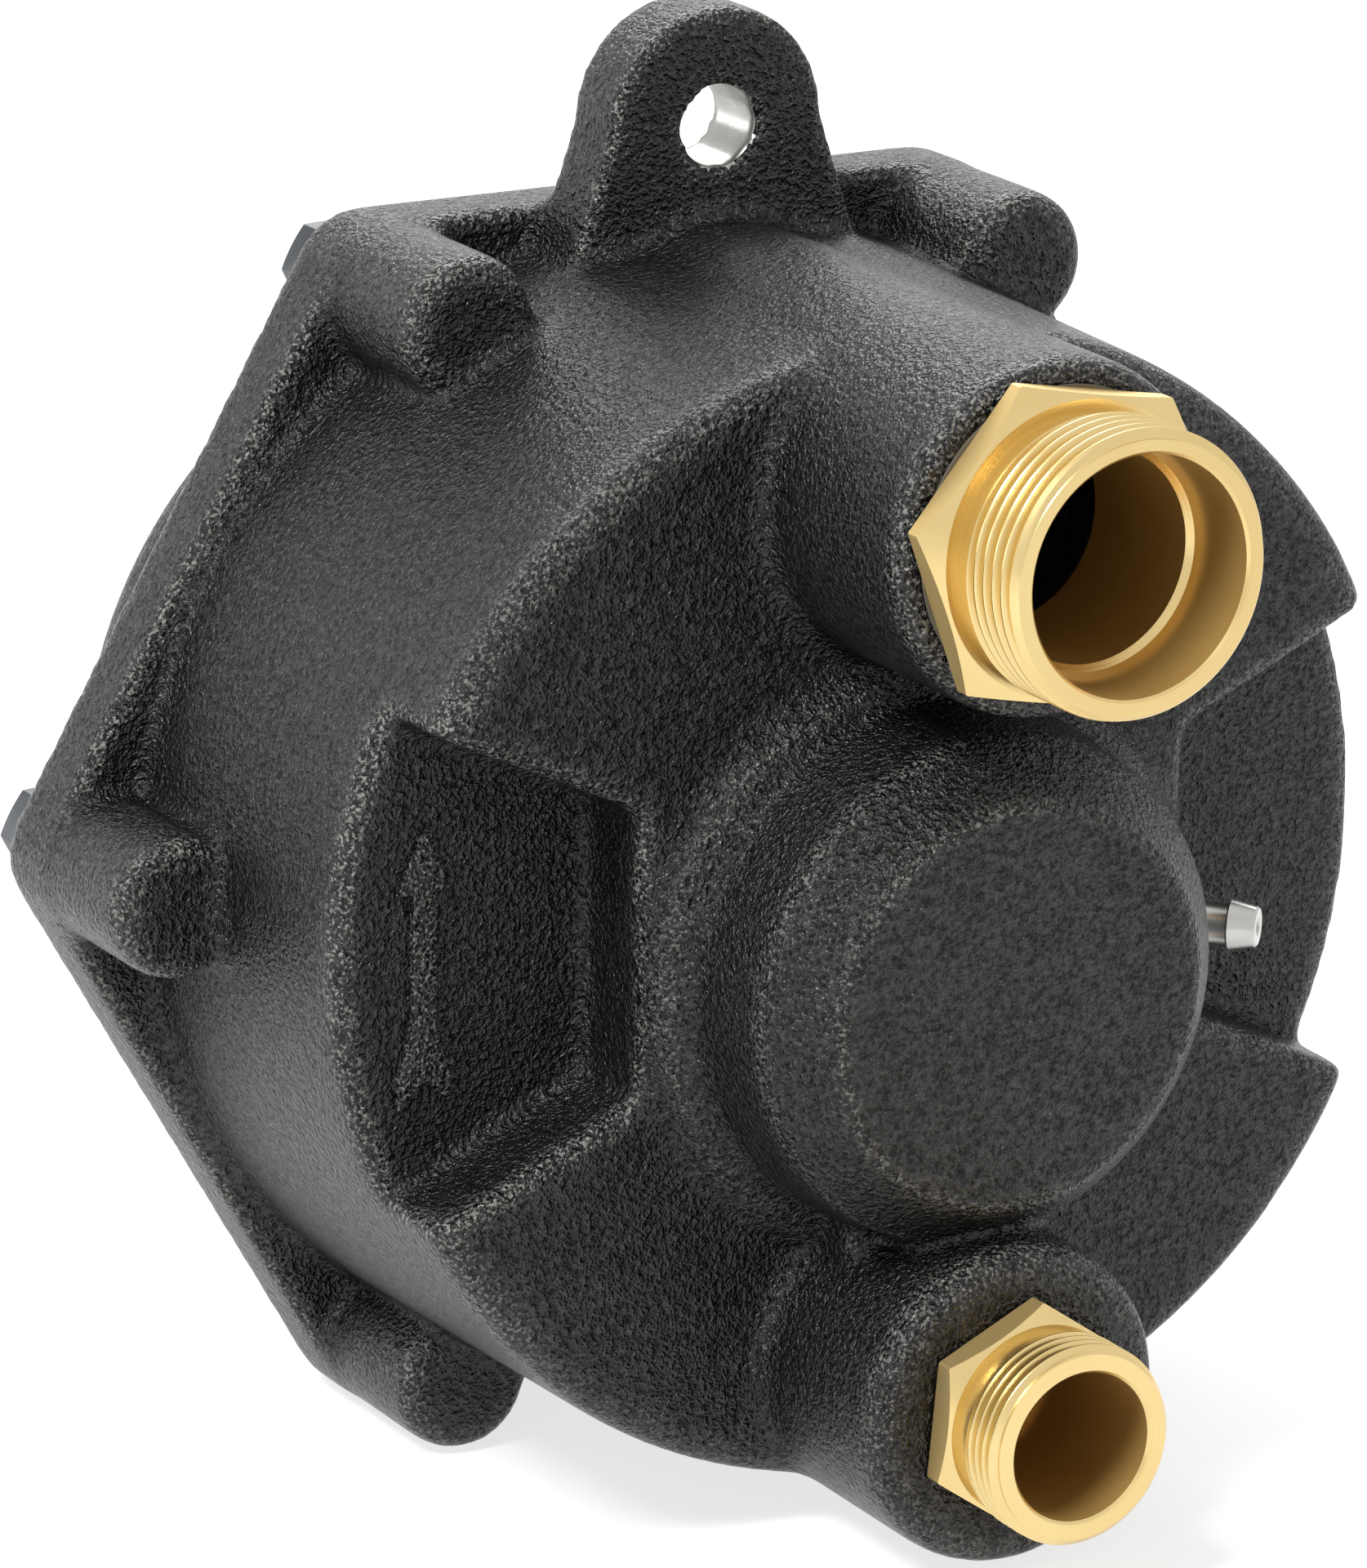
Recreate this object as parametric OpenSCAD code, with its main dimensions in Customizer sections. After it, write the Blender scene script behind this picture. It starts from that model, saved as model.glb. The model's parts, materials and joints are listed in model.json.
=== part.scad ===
// Power take-off pump: a centrifugal water pump with a planetary step-up gear.
// It slides on a splined tractor stub. The origin is the centre of the socket mouth,
// on the shaft axis. The front, with both nipples, faces -Y.
// Inside each sub-part x is right, y is up and z is forward from the flange's rear face.

/* [Casing] */
// Height of the casing's centre above the shaft axis
casing_rise = 6; // [5:0.5:7]
// Radius of the pump chamber
chamber_r = 80; // [78:0.5:84]
// Distance of the circle of flange bolts outside the pump chamber
bolt_offset = 14; // [13.5:0.5:16]
// Number of flange bolts, one at each corner of the hexagon
bolt_count = 6; // [6]
// Radius of the flange's corners about the bolts
corner_r = 11.1; // [10.5:0.1:12]
// Thickness of the flange
flange_t = 13; // [11:0.5:15]
// Wall of the drum round the pump chamber, where the drum leaves the flange
drum_foot_wall = 8.8; // [8:0.2:10]
// The same wall at the drum's front edge
drum_face_wall = 6.8; // [6:0.2:8]
// Distance from the flange's rear face to the drum's front face
drum_depth = 86.5; // [85:0.5:89]
// Rounding of the drum's front edge
drum_edge_r = 4; // [2:0.5:5]
// Thickness of the cast walls round the water channels
casing_wall = 5; // [4:0.5:6]
// Depth of the two side recesses below the front face
recess_depth = 15.5; // [14:0.5:17]
// Half the angle that each side recess takes up
recess_half_angle = 25; // [22:1:28]
// Radius of the blind bosses round the bolts
bolt_boss_r = 10.8; // [9.5:0.1:11]
// Distance from the flange's rear face to the tops of the bolt bosses
bolt_boss_top = 38; // [34:1:42]
// Rounding of the bolt bosses' tops
bolt_boss_edge_r = 3; // [1:0.5:4]
// Height of the cast arrow above the recess floor
arrow_rise = 1; // [0.5:0.1:1.5]
// Length of the cast arrow
arrow_len = 41; // [34:1:44]
// Width of the cast arrow's head and tail
arrow_w = 8.4; // [7:0.2:10]
// Width of the cast arrow's shaft
arrow_shaft_w = 3.8; // [3:0.2:5]
// Distance of the cast arrow from the casing's centre
arrow_x = 73; // [68:1:76]

// Radius of the concave fillet at the foot of both bosses
boss_fillet_r = 3; // [1:0.5:5]

/* [Bearing hub] */
// Radius of the ring at the foot of the hub
hub_ring_r = 46; // [44:0.5:48]
// Height of that ring above the drum's front face
hub_ring_rise = 4.5; // [3:0.5:6]
// Rounding of the ring's edge
hub_ring_edge_r = 6; // [4:0.5:7]
// Radius of the hub at its foot
hub_foot_r = 39.4; // [38.5:0.1:40]
// Radius of the hub where its chamfer starts
hub_side_r = 38.1; // [37:0.1:39]
// Height of the hub's side above the ring
hub_side_h = 15.4; // [13:0.2:17]
// Radius of the hub's flat nose
hub_nose_r = 30.2; // [28:0.2:32]
// Height of the chamfer between side and nose
hub_chamfer_h = 9.6; // [8:0.2:11]

/* [Torque lug] */
// Distance of the lug's hole outside the circle of flange bolts
lug_hole_offset = 10.7; // [9:0.5:13]
// Radius of the lug's hole
lug_hole_r = 6.13; // [5:0.25:7]
// Radius of the lug's round head
lug_r = 18; // [16:0.5:20]
// Half width of the lug at its foot
lug_foot_half_w = 25; // [22:1:28]
// Thickness of the lug
lug_t = 13.3; // [11:0.5:15]

/* [Suction connection] */
// Height of the suction boss above the shaft axis
suction_rise = 70.4; // [69.5:0.1:71]
// Radius of the suction boss
suction_boss_r = 26.2; // [25.5:0.1:27]
// Distance from the drum's front face to the top of the suction boss
suction_boss_h = 35.5; // [32:0.5:38]
// Crest radius of the suction thread
suction_thread_r = 20.955; // [20:0.5:22]
// Length of the suction nipple's threaded end with its undercut
suction_thread_len = 16.3; // [14:0.5:20]
// Width across flats of the suction nipple's hexagon
suction_hex_w = 44; // [43:1:46]
// Turn of that hexagon as it is screwed home
suction_hex_turn = -10; // [-30:1:30]
// Radius of the suction nipple's mouth
suction_mouth_r = 17.4; // [16.5:0.2:18]
// Radius of the suction passage behind the mouth
suction_throat_r = 15.5; // [14:0.5:16]

/* [Pressure connection] */
// Distance of the pressure boss below the shaft axis
pressure_drop = 60.2; // [59:0.2:61]
// Radius of the pressure boss
pressure_boss_r = 24.5; // [23:0.5:25]
// Distance from the drum's front face to the top of the pressure boss
pressure_boss_h = 31.3; // [28:0.5:34]
// Crest radius of the pressure thread
pressure_thread_r = 15.1; // [14:0.5:15.5]
// Length of the pressure nipple's threaded end with its undercut
pressure_thread_len = 12; // [10:0.5:15]
// Width across flats of the pressure nipple's hexagon
pressure_hex_w = 30; // [30:1:34]
// Turn of that hexagon as it is screwed home
pressure_hex_turn = 25; // [-30:1:30]
// Radius of the pressure nipple's mouth
pressure_mouth_r = 11.2; // [10.5:0.2:12]
// Radius of the pressure passage behind the mouth
pressure_throat_r = 9.5; // [8.5:0.5:10]
// Radius of the pressure nipple's screwed-in end
pressure_spigot_r = 13.2; // [12.5:0.1:14]

/* [Nipples] */
// Height of both hexagons
nipple_hex_h = 4.5; // [4:0.5:7]
// Thickness of the sealing rings under the hexagons
sealing_ring_t = 0.5; // [0.5:0.1:1]
// Depth of the wide mouth inside each nipple
nipple_mouth_depth = 12; // [8:1:14]
// Length of the end screwed into the casing
nipple_spigot_len = 15; // [12:1:18]
// Width of the undercut between hexagon and thread
nipple_undercut_w = 3; // [2:0.5:4]
// Depth of that undercut
nipple_undercut_d = 1.5; // [1:0.1:2]

/* [Flange bolts] */
// Radius of the bolt shanks
bolt_r = 4; // [3.5:0.5:4.5]
// Width across flats of the bolt heads
bolt_head_w = 13; // [12:1:14]
// Height of the bolt heads
bolt_head_h = 5.3; // [4.5:0.1:6]
// Depth of the bolt shanks in the casing
bolt_depth = 26; // [20:1:28]

/* [Rear cover] */
// Thickness of the cover's flange
cover_flange_t = 4; // [3.5:0.5:6]
// Radius of the cover flange's corners about the bolts
cover_corner_r = 8.4; // [8:0.1:10]
// Thickness of the cover's walls
cover_wall = 6; // [5:0.5:7]
// Rounding of the cover's rear edge
cover_edge_r = 8; // [4:1:9]
// Thickness of the gasket
gasket_t = 0.4; // [0.4:0.1:1]
// Number of oil plugs: filler, level and drain
plug_count = 3; // [1:1:3]
// Radius of an oil plug's thread
plug_r = 5; // [4:0.5:5.5]
// Width across flats of an oil plug's head
plug_head_w = 14; // [13:1:16]
// Height of an oil plug's head
plug_head_h = 6; // [4:0.5:8]
// Thickness of the washers under the oil plugs
plug_washer_t = 1.5; // [1:0.5:2]

/* [Planetary gear] */
// Gear module
gear_module = 1.5; // [1.48:0.01:1.52]
// Teeth of the sun gear on the pump shaft
sun_teeth = 15; // [15]
// Teeth of each planet gear
planet_teeth = 30; // [30]
// Number of planet gears
planet_count = 3; // [3]
// Pressure angle of the teeth
pressure_angle = 25; // [22:1:26]
// Play taken off each gear's teeth, at the pitch circle
backlash = 0.15; // [0.1:0.05:0.25]
// Width of the gears
gear_w = 16; // [12:1:18]
// Thickness of the ring gear outside its teeth
ring_rim = 9.95; // [9:0.1:11]
// Radius of the planet pins
planet_pin_r = 7; // [6:0.5:8]
// Wall of the planet bushes
planet_bush_wall = 2; // [1.5:0.5:3]
// Thickness of the carrier plate
carrier_t = 9; // [7:0.5:11]
// Radius of the carrier plate
carrier_r = 46; // [44:0.5:48]
// Radius of the ring gear's dowels
dowel_r = 2; // [1.5:0.25:2.5]
// Length of the ring gear's dowels
dowel_len = 14; // [10:1:18]

/* [Input hub] */
// Radius over the grooves of the splined socket
spline_major_r = 17.5; // [17:0.1:18]
// Radius of the splined socket between its grooves
spline_minor_r = 14.95; // [14.5:0.1:15.5]
// Width of the spline grooves
spline_w = 8.7; // [8:0.1:9]
// Number of splines
spline_count = 6; // [6]
// Radius of the plain lead-in at the socket's mouth
lead_in_r = 18.2; // [18:0.1:18.6]
// Length of that lead-in
lead_in_len = 10; // [8:1:12]
// Radius of the input sleeve, inside the bearing
sleeve_r = 25; // [24:0.5:26]
// Radius of the collar round the socket's mouth
collar_r = 29; // [28:0.5:31]
// Length of that collar
collar_len = 23; // [22:1:26]
// Radius of the lock pin's stem
lock_pin_r = 3.5; // [3:0.25:4]
// Travel of the lock pin
lock_pin_travel = 2.5; // [2:0.25:3]

/* [Input bearing] */
// Outer radius of the input bearing
in_bearing_r = 40; // [39:0.5:41]
// Width of the input bearing
in_bearing_w = 16; // [14:1:18]
// Number of its balls
in_ball_count = 13; // [9:1:14]
// Width of the input oil seal
in_seal_w = 8; // [7:1:10]
// Outer radius of the input oil seal
in_seal_r = 36; // [34:0.5:37]

/* [Pump shaft] */
// Radius of the shaft in its bearings
shaft_r = 10; // [9.5:0.25:10.25]
// Outer radius of the shaft bearings
shaft_bearing_r = 21; // [20.5:0.25:22]
// Width of each shaft bearing
shaft_bearing_w = 12; // [11:0.5:13]
// Number of balls in each
shaft_ball_count = 9; // [7:1:10]
// Width of the spacer between the shaft bearings
shaft_spacer_w = 2; // [1.5:0.5:4]
// Radius of the shaft under the impeller
impeller_seat_r = 9; // [8.75:0.25:9.25]
// Radius of the shaft's thread for the impeller nut
shaft_thread_r = 8; // [7.8:0.1:8.4]
// Radius of the shaft's front journal
journal_r = 7.5; // [7:0.1:7.6]
// Wall of the front bush
front_bush_wall = 3.5; // [3:0.5:5]
// Length of the front bush
front_bush_len = 21; // [16:1:22]

/* [Partition and seals] */
// Thickness of the partition's plate
partition_t = 6; // [5:0.5:8]
// Wall round the bearings in the partition's hub
partition_hub_wall = 7; // [5:0.5:8]
// Width of the seat that the casing gives the partition's rim
partition_seat_w = 4; // [3.5:0.25:4.5]
// Radius of the O-ring's cord
oring_r = 1.3; // [1:0.1:1.5]
// Outer radius of the shaft's oil seal
oil_seal_r = 17.5; // [17:0.25:18]
// Width of the shaft's oil seal
oil_seal_w = 7; // [6:0.5:8]
// Thickness of the water seal's fixed seat
seal_seat_t = 5; // [4:0.5:6]
// Thickness of the water seal's running face
seal_face_t = 4; // [3:0.5:5]
// Length of the water seal's bellows
seal_bellows_len = 6.5; // [6:0.5:8]

/* [Impeller] */
// Radius of the impeller
impeller_r = 56; // [52:1:60]
// Thickness of its back plate
impeller_plate_t = 3.5; // [3:0.5:5]
// Depth of its vanes
vane_depth = 12; // [10:0.5:13]
// Number of vanes
vane_count = 6; // [5:1:7]
// Thickness of a vane
vane_t = 3.2; // [2.5:0.1:4]
// Angle that a vane sweeps from foot to tip
vane_sweep = 70; // [50:5:80]
// Gap between the vanes and the wear plate
vane_gap = 0.5; // [0.3:0.1:0.8]
// Thickness of the wear plate
wear_plate_t = 4; // [3:0.5:5]
// Radius of the wear plate's eye
eye_r = 24; // [22:0.5:25]
// Width across flats of the impeller nut
impeller_nut_w = 24; // [24:1:27]
// Height of the impeller nut
impeller_nut_h = 9; // [8:0.5:10]
// Thickness of the washer under it
impeller_washer_t = 2; // [1.5:0.5:3]

/* [Grease nipple] */
// Distance of the grease nipple's seat from the shaft axis
grease_x = 42; // [41:0.5:43]
// Height of the grease nipple's seat above the drum's front face
grease_rise = 3.5; // [3:0.5:4]
// Lean of the grease nipple from the shaft axis
grease_lean = 45; // [40:1:50]
// Radius of its head
grease_head_r = 3.3; // [3.2:0.1:3.6]
// Radius of its neck
grease_neck_r = 2.5; // [2.3:0.1:2.8]
// Radius of its screwed stem
grease_stem_r = 3; // [2.8:0.1:3.2]
// Width across flats of its hexagon
grease_hex_w = 7; // [7:0.5:8]
// Length of the nipple outside its seat
grease_len = 13; // [12:0.5:14]

/* [Hidden] */
$fn = 72;

// Overrun of every cut, and the radial play of every fit
cut = 1;
fit = 0.05;

// Radii that follow the pump chamber
bolt_circle_r = chamber_r + bolt_offset;
drum_foot_r = chamber_r + drum_foot_wall;
drum_face_r = chamber_r + drum_face_wall;
lug_hole_rise = bolt_circle_r + lug_hole_offset;

// Stations along the shaft, counted forward from the flange's rear face
recess_floor = drum_depth - recess_depth;
wear_front = recess_floor - casing_wall;
wear_rear = wear_front - wear_plate_t;
channel_front = drum_depth - casing_wall;
hub_ring_top = drum_depth + hub_ring_rise;
hub_side_top = hub_ring_top + hub_side_h;
hub_nose = hub_side_top + hub_chamfer_h;
vane_front = wear_rear - vane_gap;
vane_rear = vane_front - vane_depth;
impeller_rear = vane_rear - impeller_plate_t;
seal_face_front = impeller_rear - seal_bellows_len;
seal_seat_front = seal_face_front - seal_face_t;
seal_seat_rear = seal_seat_front - seal_seat_t;
seal_rib_t = 1.5;
oil_seal_front = seal_seat_rear - seal_rib_t;
oil_seal_rear = oil_seal_front - oil_seal_w;
circlip_t = 1.2;
circlip_land = 2;
bearing_b_front = oil_seal_rear - circlip_land;
bearing_b_rear = bearing_b_front - shaft_bearing_w;
bearing_a_front = bearing_b_rear - shaft_spacer_w;
bearing_a_rear = bearing_a_front - shaft_bearing_w;
partition_back = 2;
partition_rear = min(bearing_a_rear - circlip_land, -partition_back);
pin_end_gap = 1.5;
pin_land = 3.5;
gear_front = partition_rear - pin_end_gap - pin_land;
gear_rear = gear_front - gear_w;
carrier_gap = 0.5;
carrier_front = gear_rear - carrier_gap;
carrier_rear = carrier_front - carrier_t;
cover_floor = carrier_rear - carrier_gap;
hub_shoulder_len = 5;
in_bearing_front = carrier_rear - hub_shoulder_len;
in_bearing_rear = in_bearing_front - in_bearing_w;
seal_land = 1.5;
in_seal_front = in_bearing_rear - seal_land;
in_seal_rear = in_seal_front - in_seal_w;
seal_setback = 0.5;
cover_rear = in_seal_rear - seal_setback;
collar_gap = 2;
collar_front = cover_rear - collar_gap;
socket_reach = collar_len - collar_front;
mouth = -socket_reach;

// Gears
carrier_pitch_r = gear_module * (sun_teeth + planet_teeth) / 2;
ring_teeth = sun_teeth + 2 * planet_teeth;
addendum_share = 0.9;
dedendum_share = 1.2;
flank_steps = 3;
ring_r = gear_module * (ring_teeth / 2 + dedendum_share) + ring_rim;
ring_bore_r = ring_r + fit;
planet_step = 360 / planet_count;
first_planet = 90;
dowel_margin = 1;
dowel_circle_r = ring_r - dowel_r - dowel_margin;
partition_spigot_wall = 6;
clip_gap = 0.3;
sun_overhang = 0.5;

// Casing details
bolt_step = 360 / bolt_count;
arc_steps = 5;
eye_chamber_r = 30;
rib_r = 38;
lug_foot_sink = 10;
lug_foot_rise = bolt_circle_r - lug_foot_sink;
web_half_w = 17;
web_top = 98;
hub_fillet_r = 0.5;
bore_passage_r = 17;
pressure_passage_r = 12;
suction_edge_r = 2.5;
pressure_edge_r = 4;
bolt_spare_depth = 4;
arrow_tip_rise = 18.6;
arrow_head_len = 9;
arrow_tail_len = 13;
arrow_notch = 4;
front_boss_r = 19;
front_seal_wall = 6.5;
front_seal_w = 6;
front_boss_rear = channel_front - front_seal_w - cut / 2;
front_seal_front = channel_front;
bush_rear = front_seal_front + casing_wall;
bush_front = bush_rear + front_bush_len;
bush_end_gap = 2;
gallery_r = 1.5;
gallery_station = (front_seal_front + bush_rear) / 2;

// Nipple details
hex_side_share = 1 / cos(30);
hex_bevel_angle = 20;
hex_face_margin = 0.4;
nipple_chamfer = 1.1;
nipple_sealing_lip = 0.6;

// Wear plate screws
screw_r = 2.5;
screw_head_r = 4.8;
screw_head_t = 2.3;
screw_len = 14;
screw_x = 38;
screw_y = 11;
slot_inner_r = 60;
slot_outer_margin = 6;
slot_half_angle = 30;

// Input hub details
spline_depth = 55;
lock_pin_set = 17;
lock_pin_tip_r = 16.2;
lock_step_r = 20;
lock_bore_r = 6;
lock_screw_t = 3;
lock_flange_t = 2;
lock_flange_r = 5.8;
lock_spring_wall = 1.4;
lock_button_r = 5.5;
lock_button_t = 3;
lock_button_gap = 1;
hub_shoulder_r = 28;
snout_wall = 7;
plug_gap = 0.9;
plug_circle_r = in_bearing_r + snout_wall + plug_head_w / 2 * hex_side_share + plug_gap;
seal_lip_r = 33;
bearing_lip_w = 3.4;

// Bearing details: the balls take a share of half the section between bore and outside
ball_share = 0.58;
in_ball_r = ball_share * (in_bearing_r - sleeve_r) / 2;
shaft_ball_r = ball_share * (shaft_bearing_r - shaft_r) / 2;
groove_play = 0.1;
ring_shoulder_share = 0.52;
cage_half_t_share = 0.3;
cage_side = 1.4;
cage_play = 0.2;
clip_depth = 1.6;
clip_slot_w = 3;

// Impeller details
impeller_hub_r = 15;
key_w = 5;
key_h = 5;
key_seat = 6.5;
key_end = 2;
vane_foot_r = impeller_hub_r - cut;
vane_tip_margin = 0.5;
vane_steps = 8;
washer_r = 13;
thread_spare = 1;
seal_face_wall = 5;
bellows_t = 5;

// Grease nipple details
grease_hex_h = 3.4;
grease_neck_len = 3;
grease_tip_r = 2.4;
grease_bore_r = 1.55;
grease_ball_r = 1.45;
grease_mouth_r = 1.1;
grease_ball_travel = 0.8;
grease_stem_len = 8;
grease_spring_wall = 0.35;
grease_spring_len = 5;
grease_mouth_len = 0.8;
grease_spot_r = 4.8;
grease_ball_place = grease_len - grease_mouth_len - fit
    - sqrt(pow(grease_ball_r, 2) - pow(grease_mouth_r, 2));

// Puts a sub-part's own axes into the part's frame
module place() {
    rotate([90, 0, 0]) translate([0, 0, socket_reach]) children();
}

module disc(r, from, to) {
    translate([0, 0, from]) cylinder(r = r, h = to - from);
}

module ring(r_out, r_in, from, to) {
    difference() {
        disc(r_out, from, to);
        disc(r_in, from - cut, to + cut);
    }
}

module hexagon(width, from, to) {
    translate([0, 0, from]) cylinder(r = width / 2 * hex_side_share, h = to - from, $fn = 6);
}

// Points of an arc, for outlines
function arc(x, y, r, a0, a1) =
    [for (i = [0:arc_steps]) let (a = a0 + (a1 - a0) * i / arc_steps) [x + r * cos(a), y + r * sin(a)]];

// A round boss along z with a rounded top edge
module round_boss(r, from, to, edge) {
    rotate_extrude() polygon(concat([[0, from], [r, from]], arc(r - edge, to - edge, edge, 0, 90), [[0,
        to]]));
}

module at_centre() {
    translate([0, casing_rise, 0]) children();
}

module at_bolts() {
    at_centre() for (i = [0:bolt_count - 1]) rotate([0, 0, i * bolt_step])
        translate([bolt_circle_r, 0, 0]) children();
}

// The hexagon through the six bolts, with round corners of radius r
module rounded_hexagon(r, from, to) {
    at_centre() translate([0, 0, from]) linear_extrude(to - from) polygon([for (i = [0:bolt_count - 1])
        each arc(bolt_circle_r * cos(i * bolt_step), bolt_circle_r * sin(i * bolt_step), r,
            (i - 1 / 2) * bolt_step, (i + 1 / 2) * bolt_step)]);
}

// A concave fillet of radius edge round the foot of a boss of radius r, on the drum's front face
module foot_fillet(r, edge) {
    sunk = drum_depth - casing_wall / 2;
    rotate_extrude() polygon(concat([[r - edge / 2, sunk], [r + edge, sunk]],
        arc(r + edge, drum_depth + edge, edge, 270, 180), [[r - edge / 2, drum_depth + edge]]));
}

// Front casing
module drum() {
    at_centre() rotate_extrude() polygon(concat([[0, 0], [drum_foot_r, 0], [drum_foot_r, flange_t]],
        arc(drum_face_r - drum_edge_r, drum_depth - drum_edge_r, drum_edge_r, 0, 90), [[0, drum_depth]]));
}

module hub_outside() {
    rotate_extrude() polygon(concat([[0, wear_front], [hub_ring_r, wear_front]],
        arc(hub_ring_r - hub_ring_edge_r, hub_ring_top - hub_ring_edge_r, hub_ring_edge_r, 0, 90),
        arc(hub_foot_r + hub_fillet_r, hub_ring_top + hub_fillet_r, hub_fillet_r, 270, 180),
        [[hub_side_r, hub_side_top], [hub_nose_r, hub_nose], [0, hub_nose]]));
}

module lug_outside() {
    at_centre() translate([0, 0, flange_t]) linear_extrude(lug_t) union() {
        translate([0, lug_hole_rise]) circle(r = lug_r);
        polygon([[-lug_foot_half_w, lug_foot_rise], [lug_foot_half_w, lug_foot_rise],
            [lug_r, lug_hole_rise], [-lug_r, lug_hole_rise]]);
    }
}

// The outline, at one side, of the space beyond a line at the recess angle
module side_wedge(inner) {
    reach = bolt_circle_r + bolt_boss_r;
    rise_share = tan(recess_half_angle);
    polygon([[inner, -inner * rise_share], [reach, -reach * rise_share],
        [reach, reach * rise_share], [inner, inner * rise_share]]);
}

module recesses() {
    at_centre() translate([0, 0, recess_floor]) linear_extrude(drum_depth) for (side = [0, 1])
        mirror([side, 0]) side_wedge(hub_ring_r);
}

// The outline of the upper or lower sector between the recess walls
module sector(turn) {
    reach = 2 * chamber_r;
    rise = casing_wall / cos(recess_half_angle);
    rise_share = tan(recess_half_angle);
    rotate([0, 0, turn]) intersection() {
        circle(r = chamber_r);
        polygon([[0, rise], [reach, rise + reach * rise_share], [0, 2 * reach], [-reach,
            rise + reach * rise_share]]);
    }
}

module suction_channel() {
    difference() {
        union() {
            at_centre() translate([0, 0, wear_front - cut]) linear_extrude(channel_front - wear_front + cut)
                sector(0);
            disc(eye_chamber_r, wear_front - cut, channel_front);
        }
        disc(front_boss_r, front_boss_rear, channel_front + cut);
    }
}

module pressure_channel() {
    difference() {
        at_centre() translate([0, 0, wear_front - cut]) linear_extrude(channel_front - wear_front + cut)
            sector(180);
        disc(rib_r, wear_front - 2 * cut, channel_front + cut);
    }
}

module arrow() {
    tip = arrow_tip_rise;
    foot = tip - arrow_len;
    at_centre() translate([-arrow_x, 0, recess_floor - cut]) linear_extrude(arrow_rise + cut) polygon([
        [0, tip], [arrow_w / 2, tip - arrow_head_len], [arrow_shaft_w / 2, tip - arrow_head_len],
        [arrow_shaft_w / 2, foot + arrow_tail_len], [arrow_w / 2, foot + arrow_notch], [arrow_w / 2, foot],
        [0, foot + arrow_notch], [-arrow_w / 2, foot], [-arrow_w / 2, foot + arrow_notch],
        [-arrow_shaft_w / 2, foot + arrow_tail_len], [-arrow_shaft_w / 2, tip - arrow_head_len],
        [-arrow_w / 2, tip - arrow_head_len]]);
}

module at_suction() {
    translate([0, suction_rise, 0]) children();
}

module at_pressure() {
    translate([0, -pressure_drop, 0]) children();
}

module at_grease() {
    translate([grease_x, 0, drum_depth + grease_rise]) rotate([0, grease_lean, 0]) children();
}

module at_wear_screws() {
    for (x = [-screw_x, screw_x]) for (y = [-screw_y, screw_y]) translate([x, y, 0]) children();
}

module front_casing() {
    suction_top = drum_depth + suction_boss_h;
    pressure_top = drum_depth + pressure_boss_h;
    color("#1c1d1f") place() difference() {
        union() {
            difference() {
                drum();
                recesses();
            }
            rounded_hexagon(corner_r, 0, flange_t);
            at_bolts() round_boss(bolt_boss_r, 0, bolt_boss_top, bolt_boss_edge_r);
            hub_outside();
            at_suction() round_boss(suction_boss_r, 0, suction_top, suction_edge_r);
            at_pressure() round_boss(pressure_boss_r, 0, pressure_top, pressure_edge_r);
            intersection() {
                at_centre() disc(drum_face_r - drum_edge_r, flange_t, suction_top);
                union() {
                    at_suction() foot_fillet(suction_boss_r, boss_fillet_r);
                    at_pressure() foot_fillet(pressure_boss_r, boss_fillet_r);
                }
            }
            translate([-web_half_w, -pressure_drop, channel_front])
                cube([2 * web_half_w, pressure_drop, web_top - channel_front]);
            lug_outside();
            arrow();
        }
        at_centre() disc(chamber_r + partition_seat_w + fit, -cut, partition_t);
        at_centre() disc(chamber_r, 0, wear_front);
        suction_channel();
        pressure_channel();
        at_suction() disc(bore_passage_r, wear_front + cut, suction_top);
        at_suction() disc(suction_thread_r + fit, suction_top - nipple_spigot_len - cut, suction_top + cut);
        at_pressure() disc(pressure_passage_r, wear_front + cut, pressure_top);
        at_pressure() disc(pressure_spigot_r + fit, pressure_top - nipple_spigot_len - cut,
            pressure_top + cut);
        disc(journal_r + front_seal_wall + fit, front_boss_rear - cut, front_seal_front);
        disc(journal_r + front_bush_wall - cut, front_seal_front - cut, bush_rear + cut);
        disc(journal_r + front_bush_wall + fit, bush_rear, bush_front);
        disc(journal_r + cut, bush_front - cut, bush_front + bush_end_gap);
        translate([0, 0, gallery_station]) rotate([0, 90, 0]) cylinder(r = gallery_r,
            h = grease_x - grease_stem_r);
        at_grease() disc(grease_stem_r + fit, -grease_stem_len - cut / 2, cut);
        at_grease() disc(grease_spot_r, 0, grease_len);
        at_bolts() disc(bolt_r + fit, -cut, bolt_depth + bolt_spare_depth);
        at_centre() translate([0, lug_hole_rise, 0]) disc(lug_hole_r, flange_t - cut, flange_t + lug_t + cut);
        at_wear_screws() disc(screw_r + fit, wear_front - cut, wear_rear + screw_len + cut);
    }
}

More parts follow.
